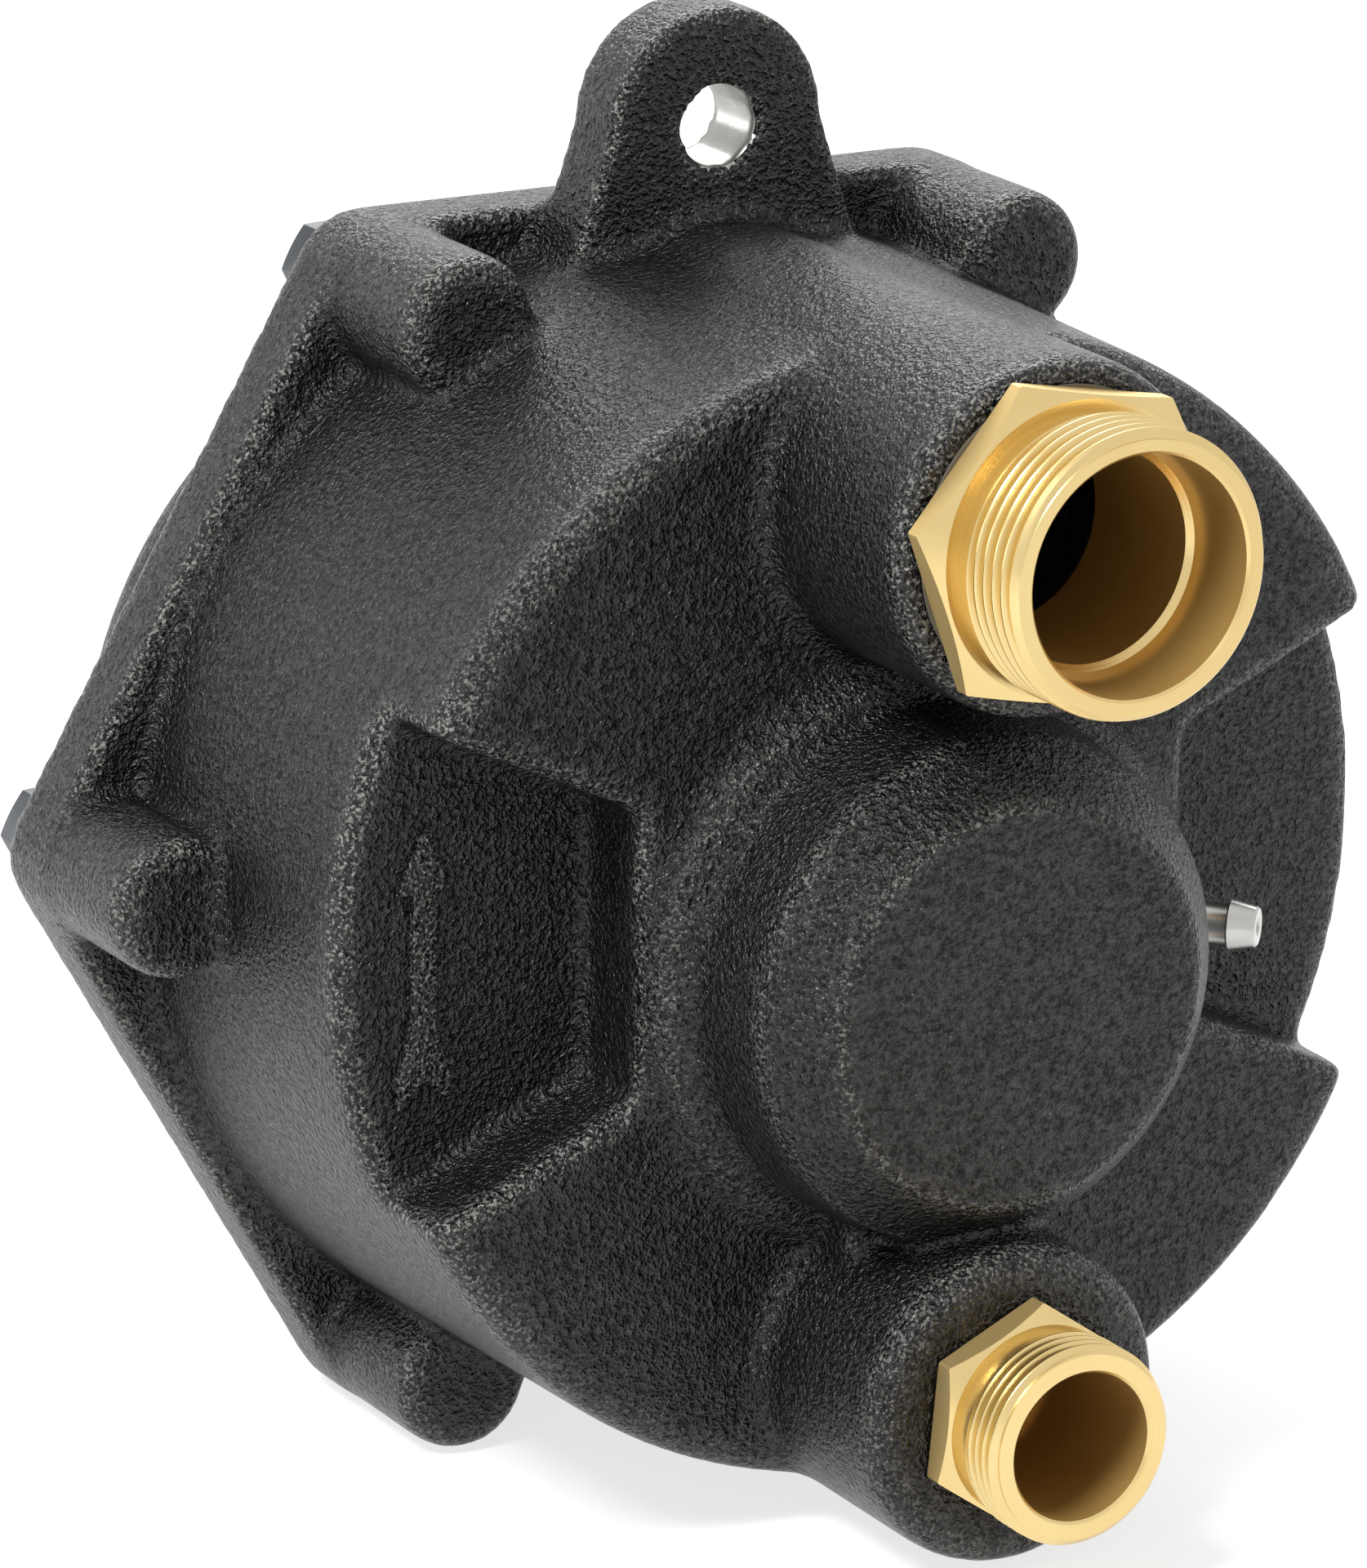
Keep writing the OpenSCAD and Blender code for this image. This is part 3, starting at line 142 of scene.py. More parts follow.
def new_tree(name: str) -> tuple[bpy.types.Material, bpy.types.NodeTree]:
    """Makes a material with an empty node tree.

    Args:
        name: the material's name.

    Returns:
        The material and its tree.
    """
    material = bpy.data.materials.new(name)
    material.use_nodes = True
    material.node_tree.nodes.clear()
    return material, material.node_tree


@dataclass(frozen=True)
class PlainFinish:
    """A metal, rubber, fibre or ceramic surface: patches of colour, a fine grain and uneven gloss.

    Fields ending in _mm are real sizes. patch_mm is the width of the colour patches, grain_mm the
    width of the grain, and grain_depth_mm its depth.
    """

    name: str
    colour: str
    shade: str
    metallic: float
    roughness: float
    roughness_spread: float
    grain_mm: float
    grain_depth_mm: float
    patch_mm: float

    def material(self) -> bpy.types.Material:
        """Builds the material."""
        material, tree = new_tree(self.name)
        place = add(tree, "ShaderNodeTexCoord").outputs["Object"]
        patches = add(tree, "ShaderNodeTexNoise", {"Scale": per_mm(self.patch_mm), "Detail": 3.0},
                      {"Vector": place})
        grain = add(tree, "ShaderNodeTexNoise", {"Scale": per_mm(self.grain_mm), "Detail": 2.0},
                    {"Vector": place})
        colour = add(tree, "ShaderNodeMix", {"data_type": "RGBA", 6: linear(self.colour), 7: linear(self.shade)},
                     {0: patches.outputs["Fac"]})
        gloss = add(tree, "ShaderNodeMapRange", {"To Min": self.roughness - self.roughness_spread,
                                                 "To Max": self.roughness + self.roughness_spread},
                    {"Value": patches.outputs["Fac"]})
        bump = add(tree, "ShaderNodeBump", {"Strength": 1.0, "Distance": self.grain_depth_mm * MM},
                   {"Height": grain.outputs["Fac"]})
        shader = add(tree, "ShaderNodeBsdfPrincipled", {"Metallic": self.metallic},
                     {"Base Color": colour.outputs[2], "Roughness": gloss.outputs["Result"],
                      "Normal": bump.outputs["Normal"]})
        add(tree, "ShaderNodeOutputMaterial", links={"Surface": shader.outputs["BSDF"]})
        return material


@dataclass(frozen=True)
class TurnedFinish:
    """A metal cut on a lathe: fine rings about an axis that runs front to back.

    centre is the axis, as x and z in metres. ring_mm is the spacing of the tool marks.
    """

    name: str
    colour: str
    shade: str
    roughness: float
    roughness_spread: float
    ring_mm: float
    ring_depth_mm: float
    patch_mm: float
    centre: tuple[float, float] = (0.0, 0.0)

    def material(self) -> bpy.types.Material:
        """Builds the material."""
        material, tree = new_tree(self.name)
        place = add(tree, "ShaderNodeTexCoord").outputs["Object"]
        centred = add(tree, "ShaderNodeMapping", {"Location": (-self.centre[0], 0.0, -self.centre[1])},
                      {"Vector": place})
        along = add(tree, "ShaderNodeSeparateXYZ", links={"Vector": centred.outputs["Vector"]})
        across = add(tree, "ShaderNodeCombineXYZ", links={"X": along.outputs["X"], "Z": along.outputs["Z"]})
        radius = add(tree, "ShaderNodeVectorMath", {"operation": "LENGTH"}, {0: across.outputs["Vector"]})
        ring_place = add(tree, "ShaderNodeCombineXYZ",
                         links={"X": radius.outputs["Value"], "Y": along.outputs["Y"]})
        rings = add(tree, "ShaderNodeTexNoise",
                    {"noise_dimensions": "2D", "Scale": per_mm(self.ring_mm), "Detail": 3.0},
                    {"Vector": ring_place.outputs["Vector"]})
        patches = add(tree, "ShaderNodeTexNoise", {"Scale": per_mm(self.patch_mm), "Detail": 4.0},
                      {"Vector": place})
        colour = add(tree, "ShaderNodeMix", {"data_type": "RGBA", 6: linear(self.colour), 7: linear(self.shade)},
                     {0: patches.outputs["Fac"]})
        gloss = add(tree, "ShaderNodeMapRange", {"To Min": self.roughness - self.roughness_spread,
                                                 "To Max": self.roughness + self.roughness_spread},
                    {"Value": rings.outputs["Fac"]})
        bump = add(tree, "ShaderNodeBump", {"Strength": 1.0, "Distance": self.ring_depth_mm * MM},
                   {"Height": rings.outputs["Fac"]})
        shader = add(tree, "ShaderNodeBsdfPrincipled", {"Metallic": 1.0},
                     {"Base Color": colour.outputs[2], "Roughness": gloss.outputs["Result"],
                      "Normal": bump.outputs["Normal"]})
        add(tree, "ShaderNodeOutputMaterial", links={"Surface": shader.outputs["BSDF"]})
        return material


@dataclass(frozen=True)
class SandCastEnamel:
    """Black enamel over sand-cast iron, which shows the sand's grain through the paint.

    grain_mm and pit_mm are the widths of the sand's dimples and of the finer pits between them.
    The paint lies dull in the hollows and shines on the grains between them; the hollows also take a darker colour
    as painted shade.
    rim is the mesh attribute that is high along outer edges, where rubbing leaves the paint glossier and light
    flecks are painted on as glints.
    Each pair of levels is where a noise pattern starts to show and where it shows in full.
    """

    name: str
    colour: str
    # The darker colour painted into the grain's hollows as shade
    hollow: str
    dust: str
    # The colour of the light flecks painted along outer edges as glints, and how many of them show
    rim_glint_colour: str
    rim_glint_share: float
    roughness: float
    worn_roughness: float
    hollow_gloss: float
    grain_gloss: float
    grain_mm: float
    grain_depth_mm: float
    pit_mm: float
    pit_share: float
    dust_mm: float
    fleck_mm: float
    rim: str
    lift_levels: tuple[float, float] = (0.3, 0.72)
    dust_levels: tuple[float, float] = (0.45, 0.75)
    fleck_levels: tuple[float, float] = (0.52, 0.66)

    def material(self) -> bpy.types.Material:
        """Builds the material."""
        material, tree = new_tree(self.name)
        place = add(tree, "ShaderNodeTexCoord").outputs["Object"]
        dimples = add(tree, "ShaderNodeTexNoise",
                      {"Scale": per_mm(self.grain_mm), "Detail": 1.5, "Roughness": 0.6, "Distortion": 0.4},
                      {"Vector": place})
        pits = add(tree, "ShaderNodeTexNoise", {"Scale": per_mm(self.pit_mm), "Detail": 1.0}, {"Vector": place})
        height = add(tree, "ShaderNodeMath", {"operation": "MULTIPLY_ADD", 1: self.pit_share},
                     {0: pits.outputs["Fac"], 2: dimples.outputs["Fac"]})
        lift = add(tree, "ShaderNodeMapRange", {"From Min": self.lift_levels[0] + self.pit_share / 2,
                                                "From Max": self.lift_levels[1] + self.pit_share / 2},
                   {"Value": height.outputs["Value"]})
        shine = add(tree, "ShaderNodeMapRange", {"To Min": self.hollow_gloss, "To Max": self.grain_gloss},
                    {"Value": lift.outputs["Result"]})
        dusty = add(tree, "ShaderNodeTexNoise", {"Scale": per_mm(self.dust_mm), "Detail": 3.0}, {"Vector": place})
        dust = add(tree, "ShaderNodeMapRange", {"From Min": self.dust_levels[0], "From Max": self.dust_levels[1]},
                   {"Value": dusty.outputs["Fac"]})
        flecks = add(tree, "ShaderNodeTexNoise", {"Scale": per_mm(self.fleck_mm), "Detail": 1.0},
                     {"Vector": place})
        fleck = add(tree, "ShaderNodeMapRange", {"From Min": self.fleck_levels[0], "From Max": self.fleck_levels[1]},
                    {"Value": flecks.outputs["Fac"]})
        rim = add(tree, "ShaderNodeAttribute", {"attribute_name": self.rim})
        fewer = add(tree, "ShaderNodeMath", {"operation": "MULTIPLY", 1: self.rim_glint_share},
                    {0: fleck.outputs["Result"]})
        # Painted glints: light flecks along the outer edges, where the rim attribute is high
        rim_glint = add(tree, "ShaderNodeMath", {"operation": "MULTIPLY", "use_clamp": True},
                     {0: rim.outputs["Fac"], 1: fewer.outputs["Value"]})
        paint = add(tree, "ShaderNodeMix", {"data_type": "RGBA", 6: linear(self.colour), 7: linear(self.dust)},
                    {0: dust.outputs["Result"]})
        # Painted shade: the grain's hollows take the darker hollow colour
        shaded_in_hollows = add(tree, "ShaderNodeMix", {"data_type": "RGBA", 6: linear(self.hollow)},
                      {0: lift.outputs["Result"], 7: paint.outputs[2]})
        colour = add(tree, "ShaderNodeMix", {"data_type": "RGBA", 7: linear(self.rim_glint_colour)},
                     {0: rim_glint.outputs["Value"], 6: shaded_in_hollows.outputs[2]})
        gloss = add(tree, "ShaderNodeMapRange", {"To Min": self.roughness, "To Max": self.worn_roughness},
                    {"Value": rim.outputs["Fac"]})
        bump = add(tree, "ShaderNodeBump", {"Strength": 1.0, "Distance": self.grain_depth_mm * MM},
                   {"Height": height.outputs["Value"]})
        shader = add(tree, "ShaderNodeBsdfPrincipled", {"Metallic": 0.0, "IOR": 1.5},
                     {"Base Color": colour.outputs[2], "Roughness": gloss.outputs["Result"],
                      "Specular IOR Level": shine.outputs["Result"], "Normal": bump.outputs["Normal"]})
        add(tree, "ShaderNodeOutputMaterial", links={"Surface": shader.outputs["BSDF"]})
        return material


# Stoved black enamel on sand-cast iron: a satin black whose grain glints where it turns to the light, with painted
# shade in the grain's hollows and light flecks painted along its edges as glints
ENAMEL = SandCastEnamel("black_enamel_on_sand_cast_iron", "#0e0f10", "#080808", "#1b1713", "#9a9892", 0.85,
                        0.31, 0.24, 0.18, 0.66, 0.95, 0.85, 0.45, 0.4, 45.0, 0.6, "rim")
# Free-cutting brass fresh from the lathe: pale gold with fine bright rings, drawn coarser than real ones
SUCTION_BRASS = TurnedFinish("turned_brass_suction", "#ead49a", "#d9bb7e", 0.26, 0.08, 0.7, 0.02, 25.0,
                             (0.0, 0.0704))
PRESSURE_BRASS = TurnedFinish("turned_brass_pressure", "#ead49a", "#d9bb7e", 0.26, 0.08, 0.7, 0.02, 25.0,
                              (0.0, -0.0602))
# The flats of the drawn brass bar: duller and smoother than what the tool has cut
BAR_BRASS = PlainFinish("drawn_brass_bar", "#e6cb8c", "#d8b878", 0.75, 0.44, 0.05, 0.6, 0.004, 14.0)
# The drilled bores of the nipples: coarse tool marks that scatter light, so softer; their browner, darker colour is
# painted shade inside the bores
SHADED_BORE_BRASS = PlainFinish("bored_brass_with_painted_shade", "#d9b56c", "#bc9552", 0.6, 0.5, 0.08, 0.8, 0.02, 9.0)
# Zinc plating on steel: silver with a faint warm bloom
ZINC = PlainFinish("zinc_plated_steel", "#c9c8c4", "#b3b2ae", 1.0, 0.26, 0.08, 0.5, 0.004, 5.0)
# Phosphated steel of the bolts and plugs: dark grey with an oily, uneven sheen
PHOSPHATED_STEEL = PlainFinish("phosphated_steel", "#5c5f62", "#45474a", 1.0, 0.42, 0.08, 0.6, 0.01, 6.0)
# Steel from the mill or lathe, oiled: mid grey, soft gloss
MACHINED_STEEL = TurnedFinish("machined_steel", "#a3a6aa", "#8e9195", 0.3, 0.08, 0.6, 0.008, 20.0)
# Bare drilled iron, bright where the drill has passed
DRILLED_IRON = PlainFinish("drilled_iron", "#bdbcb8", "#8f8e8a", 1.0, 0.32, 0.1, 0.7, 0.02, 6.0)
# Tin bronze of bushes, cages and impeller: reddish gold, dull from casting
BRONZE = PlainFinish("tin_bronze", "#a98146", "#8b6836", 1.0, 0.4, 0.08, 0.8, 0.02, 15.0)
# Unpainted grey iron inside the pump: dark, matt, slightly open grain
GREY_IRON = PlainFinish("grey_cast_iron", "#65686a", "#505355", 0.85, 0.55, 0.08, 1.0, 0.05, 18.0)
# Annealed copper of the washers: salmon pink with darker bloom
COPPER = PlainFinish("annealed_copper", "#c07a50", "#9c5c3c", 1.0, 0.32, 0.08, 0.6, 0.006, 6.0)
# Compressed fibre sheet of the gasket: matt grey-brown felt
FIBRE = PlainFinish("gasket_fibre", "#6b6558", "#5a5548", 0.0, 0.85, 0.05, 0.4, 0.05, 4.0)
# Nitrile rubber: matt black with a soft bloom
RUBBER = PlainFinish("nitrile_rubber", "#161617", "#222223", 0.0, 0.6, 0.08, 0.5, 0.01, 10.0)
# Lapped alumina of the seal seat: smooth ivory
CERAMIC = PlainFinish("seal_ceramic", "#d8d3c6", "#cbc5b6", 0.0, 0.2, 0.05, 0.5, 0.001, 12.0)
# Pressed carbon of the running face: fine matt black with a grey sheen
CARBON = PlainFinish("seal_carbon", "#2a2a2c", "#363638", 0.0, 0.38, 0.05, 0.4, 0.004, 8.0)

FINISH_OF_SLOT = {
    "black_cast_iron": ENAMEL, "brass": BAR_BRASS, "zinc_steel": ZINC, "machined_steel": MACHINED_STEEL,
    "bronze": BRONZE, "grey_cast_iron": GREY_IRON, "copper": COPPER, "gasket_fibre": FIBRE,
    "black_rubber": RUBBER, "seal_ceramic": CERAMIC, "seal_carbon": CARBON,
}


class Paintbox:
    """Builds each finish once and hands out its material."""

    def __init__(self) -> None:
        """Starts with no materials made."""
        self.made: dict[str, bpy.types.Material] = {}

    def of(self, finish: PlainFinish | TurnedFinish | SandCastEnamel) -> bpy.types.Material:
        """Gives a finish's material, building it at its first use."""
        if finish.name not in self.made:
            self.made[finish.name] = finish.material()
        return self.made[finish.name]


paints = Paintbox()


def station(point: Vector) -> tuple[float, float, float]:
    """Gives a point of the frame in the pieces' own millimetres: x right, y up, z forward."""
    return point.x / MM, point.z / MM, (FLANGE_Y - point.y) / MM


def into_frame(centre: tuple[float, float, float] = (0.0, 0.0, 0.0), lean: float = 0.0) -> Matrix:
    """Gives the matrix that puts a piece modelled in millimetres about its own z axis into the frame.

    Args:
        centre: the piece's own origin, in millimetres: right, up and forward from the flange's rear.
        lean: how far its axis leans to the right, in degrees.

    Returns:
        The matrix, from the piece's millimetres to the frame's metres.
    """
    turn = Matrix.Rotation(math.radians(90), 4, "X")
    move = Matrix.Translation((0.0, FLANGE_Y, 0.0))
    return (move @ turn @ Matrix.Scale(MM, 4) @ Matrix.Translation(centre)
            @ Matrix.Rotation(math.radians(lean), 4, "Y"))


def lathe(outline: Profile, steps: int, ring: bool = False) -> bmesh.types.BMesh:
    """Spins an outline of (radius, station) points about the z axis.

    Args:
        outline: the points, in millimetres.
        steps: how many faces go round.
        ring: whether the outline closes on itself, as for a ring with a bore.

    Returns:
        A closed mesh.
    """
    bm = bmesh.new()
    verts = [bm.verts.new((radius, 0.0, z)) for radius, z in outline]
    edges = [bm.edges.new(pair) for pair in zip(verts, verts[1:])]
    if ring:
        edges.append(bm.edges.new((verts[-1], verts[0])))
    bmesh.ops.spin(bm, geom=verts + edges, cent=(0, 0, 0), axis=(0, 0, 1), dvec=(0, 0, 0), angle=FULL_TURN,
                   steps=steps, use_merge=True, use_duplicate=False)
    return tidied(bm)


def hexagon(width: float, low: float, high: float, turn: float, edge: float) -> bmesh.types.BMesh:
    """Makes a hexagon bar with softened corners.

    Args:
        width: its size across flats.
        low: the station of its lower face.
        high: the station of its upper face.
        turn: the angle of its first corner, in degrees.
        edge: the rounding of its six corners.

    Returns:
        A closed mesh, in millimetres.
    """
    bm = bmesh.new()
    radius = width / 2 / math.cos(math.radians(30))
    bmesh.ops.create_circle(bm, cap_ends=True, segments=6, radius=radius)
    bmesh.ops.rotate(bm, verts=bm.verts, cent=(0, 0, 0), matrix=Matrix.Rotation(math.radians(turn - 90), 3, "Z"))
    bmesh.ops.translate(bm, verts=bm.verts, vec=(0, 0, low))
    raised = bmesh.ops.extrude_face_region(bm, geom=list(bm.faces))["geom"]
    bmesh.ops.translate(bm, verts=[v for v in raised if isinstance(v, bmesh.types.BMVert)], vec=(0, 0, high - low))
    tidied(bm)
    corners = [e for e in bm.edges if abs(e.verts[0].co.z - e.verts[1].co.z) > (high - low) / 2]
    bmesh.ops.bevel(bm, geom=corners, offset=edge, affect="EDGES", segments=2, profile=0.5, material=-1)
    return tidied(bm)


def tidied(bm: bmesh.types.BMesh) -> bmesh.types.BMesh:
    """Merges the doubles of a mesh, drops what has no area and turns its faces outwards."""
    bmesh.ops.remove_doubles(bm, verts=bm.verts, dist=MERGE_MM)
    bmesh.ops.dissolve_degenerate(bm, edges=bm.edges, dist=MERGE_MM / 2)
    bmesh.ops.recalc_face_normals(bm, faces=bm.faces)
    return bm


def solid(name: str, bm: bmesh.types.BMesh) -> bpy.types.Object:
    """Turns a bmesh into an object of the scene."""
    mesh = bpy.data.meshes.new(name)
    bm.to_mesh(mesh)
    bm.free()
    piece = bpy.data.objects.new(name, mesh)
    bpy.context.scene.collection.objects.link(piece)
    return piece


def settled(piece: bpy.types.Object) -> bpy.types.Object:
    """Applies a piece's modifiers to its mesh."""
    graph = bpy.context.evaluated_depsgraph_get()
    mesh = bpy.data.meshes.new_from_object(piece.evaluated_get(graph), preserve_all_data_layers=True,
                                           depsgraph=graph)
    old = piece.data
    piece.modifiers.clear()
    piece.data = mesh
    bpy.data.meshes.remove(old)
    return piece


def combined(base: bpy.types.Object, way: Join, other: bpy.types.Object) -> bpy.types.Object:
    """Joins, cuts or intersects a solid with another, which is used up.

    Args:
        base: the solid that stays.
        way: how the two are combined.
        other: the solid that is used up.

    Returns:
        The first solid, with its new shape.
    """
    modifier = base.modifiers.new("combine", "BOOLEAN")
    modifier.operation = way.value
    modifier.solver = "EXACT"
    modifier.object = other
    settled(base)
    bpy.data.objects.remove(other)
    return base


def copied(name: str, node: str) -> bpy.types.Object:
    """Copies a CAD node's mesh into a new piece, with its loose triangles merged.

    Args:
        name: the new piece's name.
        node: the CAD node's name.

    Returns:
        The new piece.
    """
    bm = bmesh.new()
    bm.from_mesh(frame["nodes"][node].data)
    bmesh.ops.remove_doubles(bm, verts=bm.verts, dist=MERGE_MM * MM / 4)
    return solid(name, bm)


def finish_piece(piece: bpy.types.Object, body: Body, nodes: Sequence[str],
                 materials: Sequence[bpy.types.Material], sharp_angle: float = 30.0) -> bpy.types.Object:
    """Gives a piece its materials and shading, and ties it to its body and CAD nodes.

    Args:
        piece: the finished mesh, in place.
        body: the body it rides on.
        nodes: the CAD nodes that it stands for, if any.
        materials: its materials, in the order of its faces' numbers.
        sharp_angle: the angle in degrees above which an edge stays sharp.

    Returns:
        The piece.
    """
    mesh = piece.data
    numbers = [face.material_index for face in mesh.polygons]
    mesh.materials.clear()
    for material in materials:
        mesh.materials.append(material)
    mesh.polygons.foreach_set("material_index", [min(n, len(materials) - 1) for n in numbers])
    mesh.shade_smooth()
    mesh.set_sharp_from_angle(angle=math.radians(sharp_angle))
    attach(piece, body.value)
    if nodes:
        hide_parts(*nodes)
    log.info("%s: %d faces on body %s", piece.name, len(mesh.polygons), body.value)
    return piece


# The rear face of the casing's flange, where every station counts from
FLANGE_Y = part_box("front_casing")[1].y


@cache
def box_of(node: str) -> tuple[Vector, Vector]:
    """Gives the low and high corners of a node's box, measured once."""
    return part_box(node)


def middle(node: str) -> tuple[float, float]:
    """Gives the middle of a node as x and height, in millimetres."""
    low, high = box_of(node)
    return (low.x + high.x) / 2 / MM, (low.z + high.z) / 2 / MM


def reach(node: str) -> tuple[float, float]:
    """Gives the rear and front stations of a node, in millimetres."""
    low, high = box_of(node)
    return (FLANGE_Y - high.y) / MM, (FLANGE_Y - low.y) / MM


def width(node: str) -> float:
    """Gives the width of a node, in millimetres."""
    low, high = box_of(node)
    return (high.x - low.x) / MM


@dataclass
class Casting:
    """A sand casting: the CAD solid with the roundings that a mould leaves on and between its faces.

    grid_mm is the spacing of its mesh, passes how often that is smoothed, and faces the most
    triangles kept. rim_full_mm is how much an outer edge loses where its rim attribute is full: there the paint is
    glossiest and carries the most light flecks painted on as glints.
    sharp_angle is the angle in degrees above which an edge still looks sharp.
    """

    name: str
    node: str
    grid_mm: float
    passes: int
    faces: int
    rim_full_mm: float = 0.35
    quick_grid_mm: float = 2.4
    sharp_angle: float = 60.0

    def roundness(self, x: float, y: float, z: float) -> float:
        """Tells how much a point is rounded, from 0 on machined faces to 1 on cast ones."""
        return 1.0 if z > 0 else 0.0

    def readied(self, mesh: bpy.types.Mesh) -> None:
        """Readies the mesh for its roundings. A plain casting needs nothing."""

    def rounded(self) -> bpy.types.Object:
        """Builds the casting's mesh with its roundings and its rim attribute."""
        piece = copied(self.name, self.node)
        grid = piece.modifiers.new("grid", "REMESH")
        grid.mode = "VOXEL"
        grid.voxel_size = self.grid_mm * MM
        settled(piece)
        self.readied(piece.data)
        sharp = [v.co.copy() for v in piece.data.vertices]
        group = piece.vertex_groups.new(name="cast")
        for index, point in enumerate(sharp):
            group.add([index], self.roundness(*station(point)), "REPLACE")
        smooth = piece.modifiers.new("round", "SMOOTH")
        smooth.factor = 0.5
        smooth.iterations = self.passes
        smooth.vertex_group = group.name
        settled(piece)
        mesh = piece.data
        # The rim attribute gives the enamel glossier edges and its painted glint flecks
        rim = mesh.attributes.new(ENAMEL.rim, "FLOAT", "POINT")
        lost = [(old - v.co).dot(v.normal) / (self.rim_full_mm * MM) for old, v in zip(sharp, mesh.vertices)]
        rim.data.foreach_set("value", [min(max(share, 0.0), 1.0) for share in lost])
        piece.vertex_groups.clear()
        # Each square of the grid counts as two triangles
        thin = piece.modifiers.new("thin", "DECIMATE")
        thin.ratio = min(1.0, self.faces / (2 * len(mesh.polygons)))
        return settled(piece)


@dataclass
class FrontCasing(Casting):
    """The front casting, with its bores, joint face and lug hole left as the drill and lathe cut them.

    play_mm is how far past a cut face its crispness reaches, and plain_share the rounding of all
    cast faces but the two recesses, which lie beyond recess_x_mm and within recess_half_h_mm.
    """

    play_mm: float = 0.35
    hub_bore_r_mm: float = 14.0
    lug_hole_r_mm: float = 6.13
    lug_hole_rise_mm: float = 110.7
    lug_t_mm: float = 13.3
    flange_t_mm: float = 13.0
    plain_share: float = 0.6
    recess_x_mm: float = 40.0
    recess_half_h_mm: float = 50.0

    def readied(self, mesh: bpy.types.Mesh) -> None:
        """Levels the coarse arrow on the recess floor, for which the cast arrow's own mesh stands."""
        arrow = CastArrow()
        rise = middle("partition_plate")[1]
        for vert in mesh.vertices:
            x, y, z = station(vert.co)
            if (abs(x - arrow.middle_x) < arrow.patch_w / 2 and abs(y - rise) < arrow.patch_h / 2
                    and abs(z - arrow.floor) < 2 * arrow.rise):
                vert.co.y = FLANGE_Y - arrow.floor * MM

    def in_lug_hole(self, x: float, y: float, z: float) -> bool:
        """Tells whether a point lies on the wall of the lug's hole."""
        return (math.hypot(x, y - self.lug_hole_rise_mm) < self.lug_hole_r_mm + self.play_mm
                and 0 < z - self.flange_t_mm < self.lug_t_mm)

    def roundness(self, x: float, y: float, z: float) -> float:
        """Tells how much a point is rounded: bores, the joint face and the chamber stay crisp."""
        chamber_front = reach("wear_plate")[1] + self.play_mm
        chamber_r = width("partition_plate") / 2 + self.play_mm
        if z < self.play_mm or self.in_lug_hole(x, y, z):
            return 0.0
        if z < chamber_front and math.hypot(x, y - middle("partition_plate")[1]) < chamber_r:
            return 0.0
        for node in ("suction_nipple", "pressure_nipple"):
            across, rise = middle(node)
            if z < reach(node)[0] and math.hypot(x - across, y - rise) < width(node) / 2:
                return 0.0
        if math.hypot(x, y) < self.hub_bore_r_mm and z < reach("front_bush")[1] + self.play_mm:
            return 0.0
        by_recess = abs(x) > self.recess_x_mm and abs(y) < self.recess_half_h_mm and z > chamber_front
        return 1.0 if by_recess else self.plain_share

    def build(self) -> bpy.types.Object:
        """Builds the casing and bares the wall of its lug hole."""
        piece = self.rounded()
        for face in piece.data.polygons:
            face.material_index = int(self.in_lug_hole(*station(face.center)))
        return finish_piece(piece, Body.CASING, [self.node],
                            [paints.of(ENAMEL), paints.of(DRILLED_IRON)], self.sharp_angle)


@dataclass
class CastArrow:
    """The arrow cast on the floor of the left recess, with the soft edges of a pattern-maker's letter.

    points are half of its outline, from its tip down to its foot, as x and y from the flange's centre.
    """

    points: Profile = ((0.0, 18.6), (4.2, 9.6), (1.9, 9.6), (1.9, -9.4), (4.2, -18.4), (4.2, -22.4),
                       (0.0, -18.4))
    middle_x: float = -73.0
    floor: float = 71.0
    root: float = 0.8
    rise: float = 1.3
    edge: float = 0.25
    patch_w: float = 12.0
    patch_h: float = 50.0
    # How strongly the crest counts as rim: glossier paint, with light flecks painted on as glints
    rim_glint: float = 0.8
    sharp_angle: float = 50.0

    def build(self) -> bpy.types.Object:
        """Builds the arrow."""
        bm = bmesh.new()
        mirrored = [(-x, y) for x, y in reversed(self.points[1:-1])]
        verts = [bm.verts.new((x, y, self.floor - self.root)) for x, y in (*self.points, *mirrored)]
        base = bm.faces.new(verts)
        raised = bmesh.ops.extrude_face_region(bm, geom=[base])["geom"]
        top = [v for v in raised if isinstance(v, bmesh.types.BMVert)]
        bmesh.ops.translate(bm, verts=top, vec=(0, 0, self.root + self.rise))
        tidied(bm)
        upper = [e for e in bm.edges if min(v.co.z for v in e.verts) > self.floor]
        bmesh.ops.bevel(bm, geom=upper, offset=self.edge, affect="EDGES", segments=3, profile=0.5, material=-1)
        piece = solid("cast_arrow", tidied(bm))
        rim = piece.data.attributes.new(ENAMEL.rim, "FLOAT", "POINT")
        crest = self.floor + self.rise - 2 * self.edge
        rim.data.foreach_set("value", [self.rim_glint * (v.co.z > crest) for v in piece.data.vertices])
        piece.data.transform(into_frame((self.middle_x, middle("partition_plate")[1], 0.0)))
        return finish_piece(piece, Body.CASING, [], [paints.of(ENAMEL)],
                            self.sharp_angle)


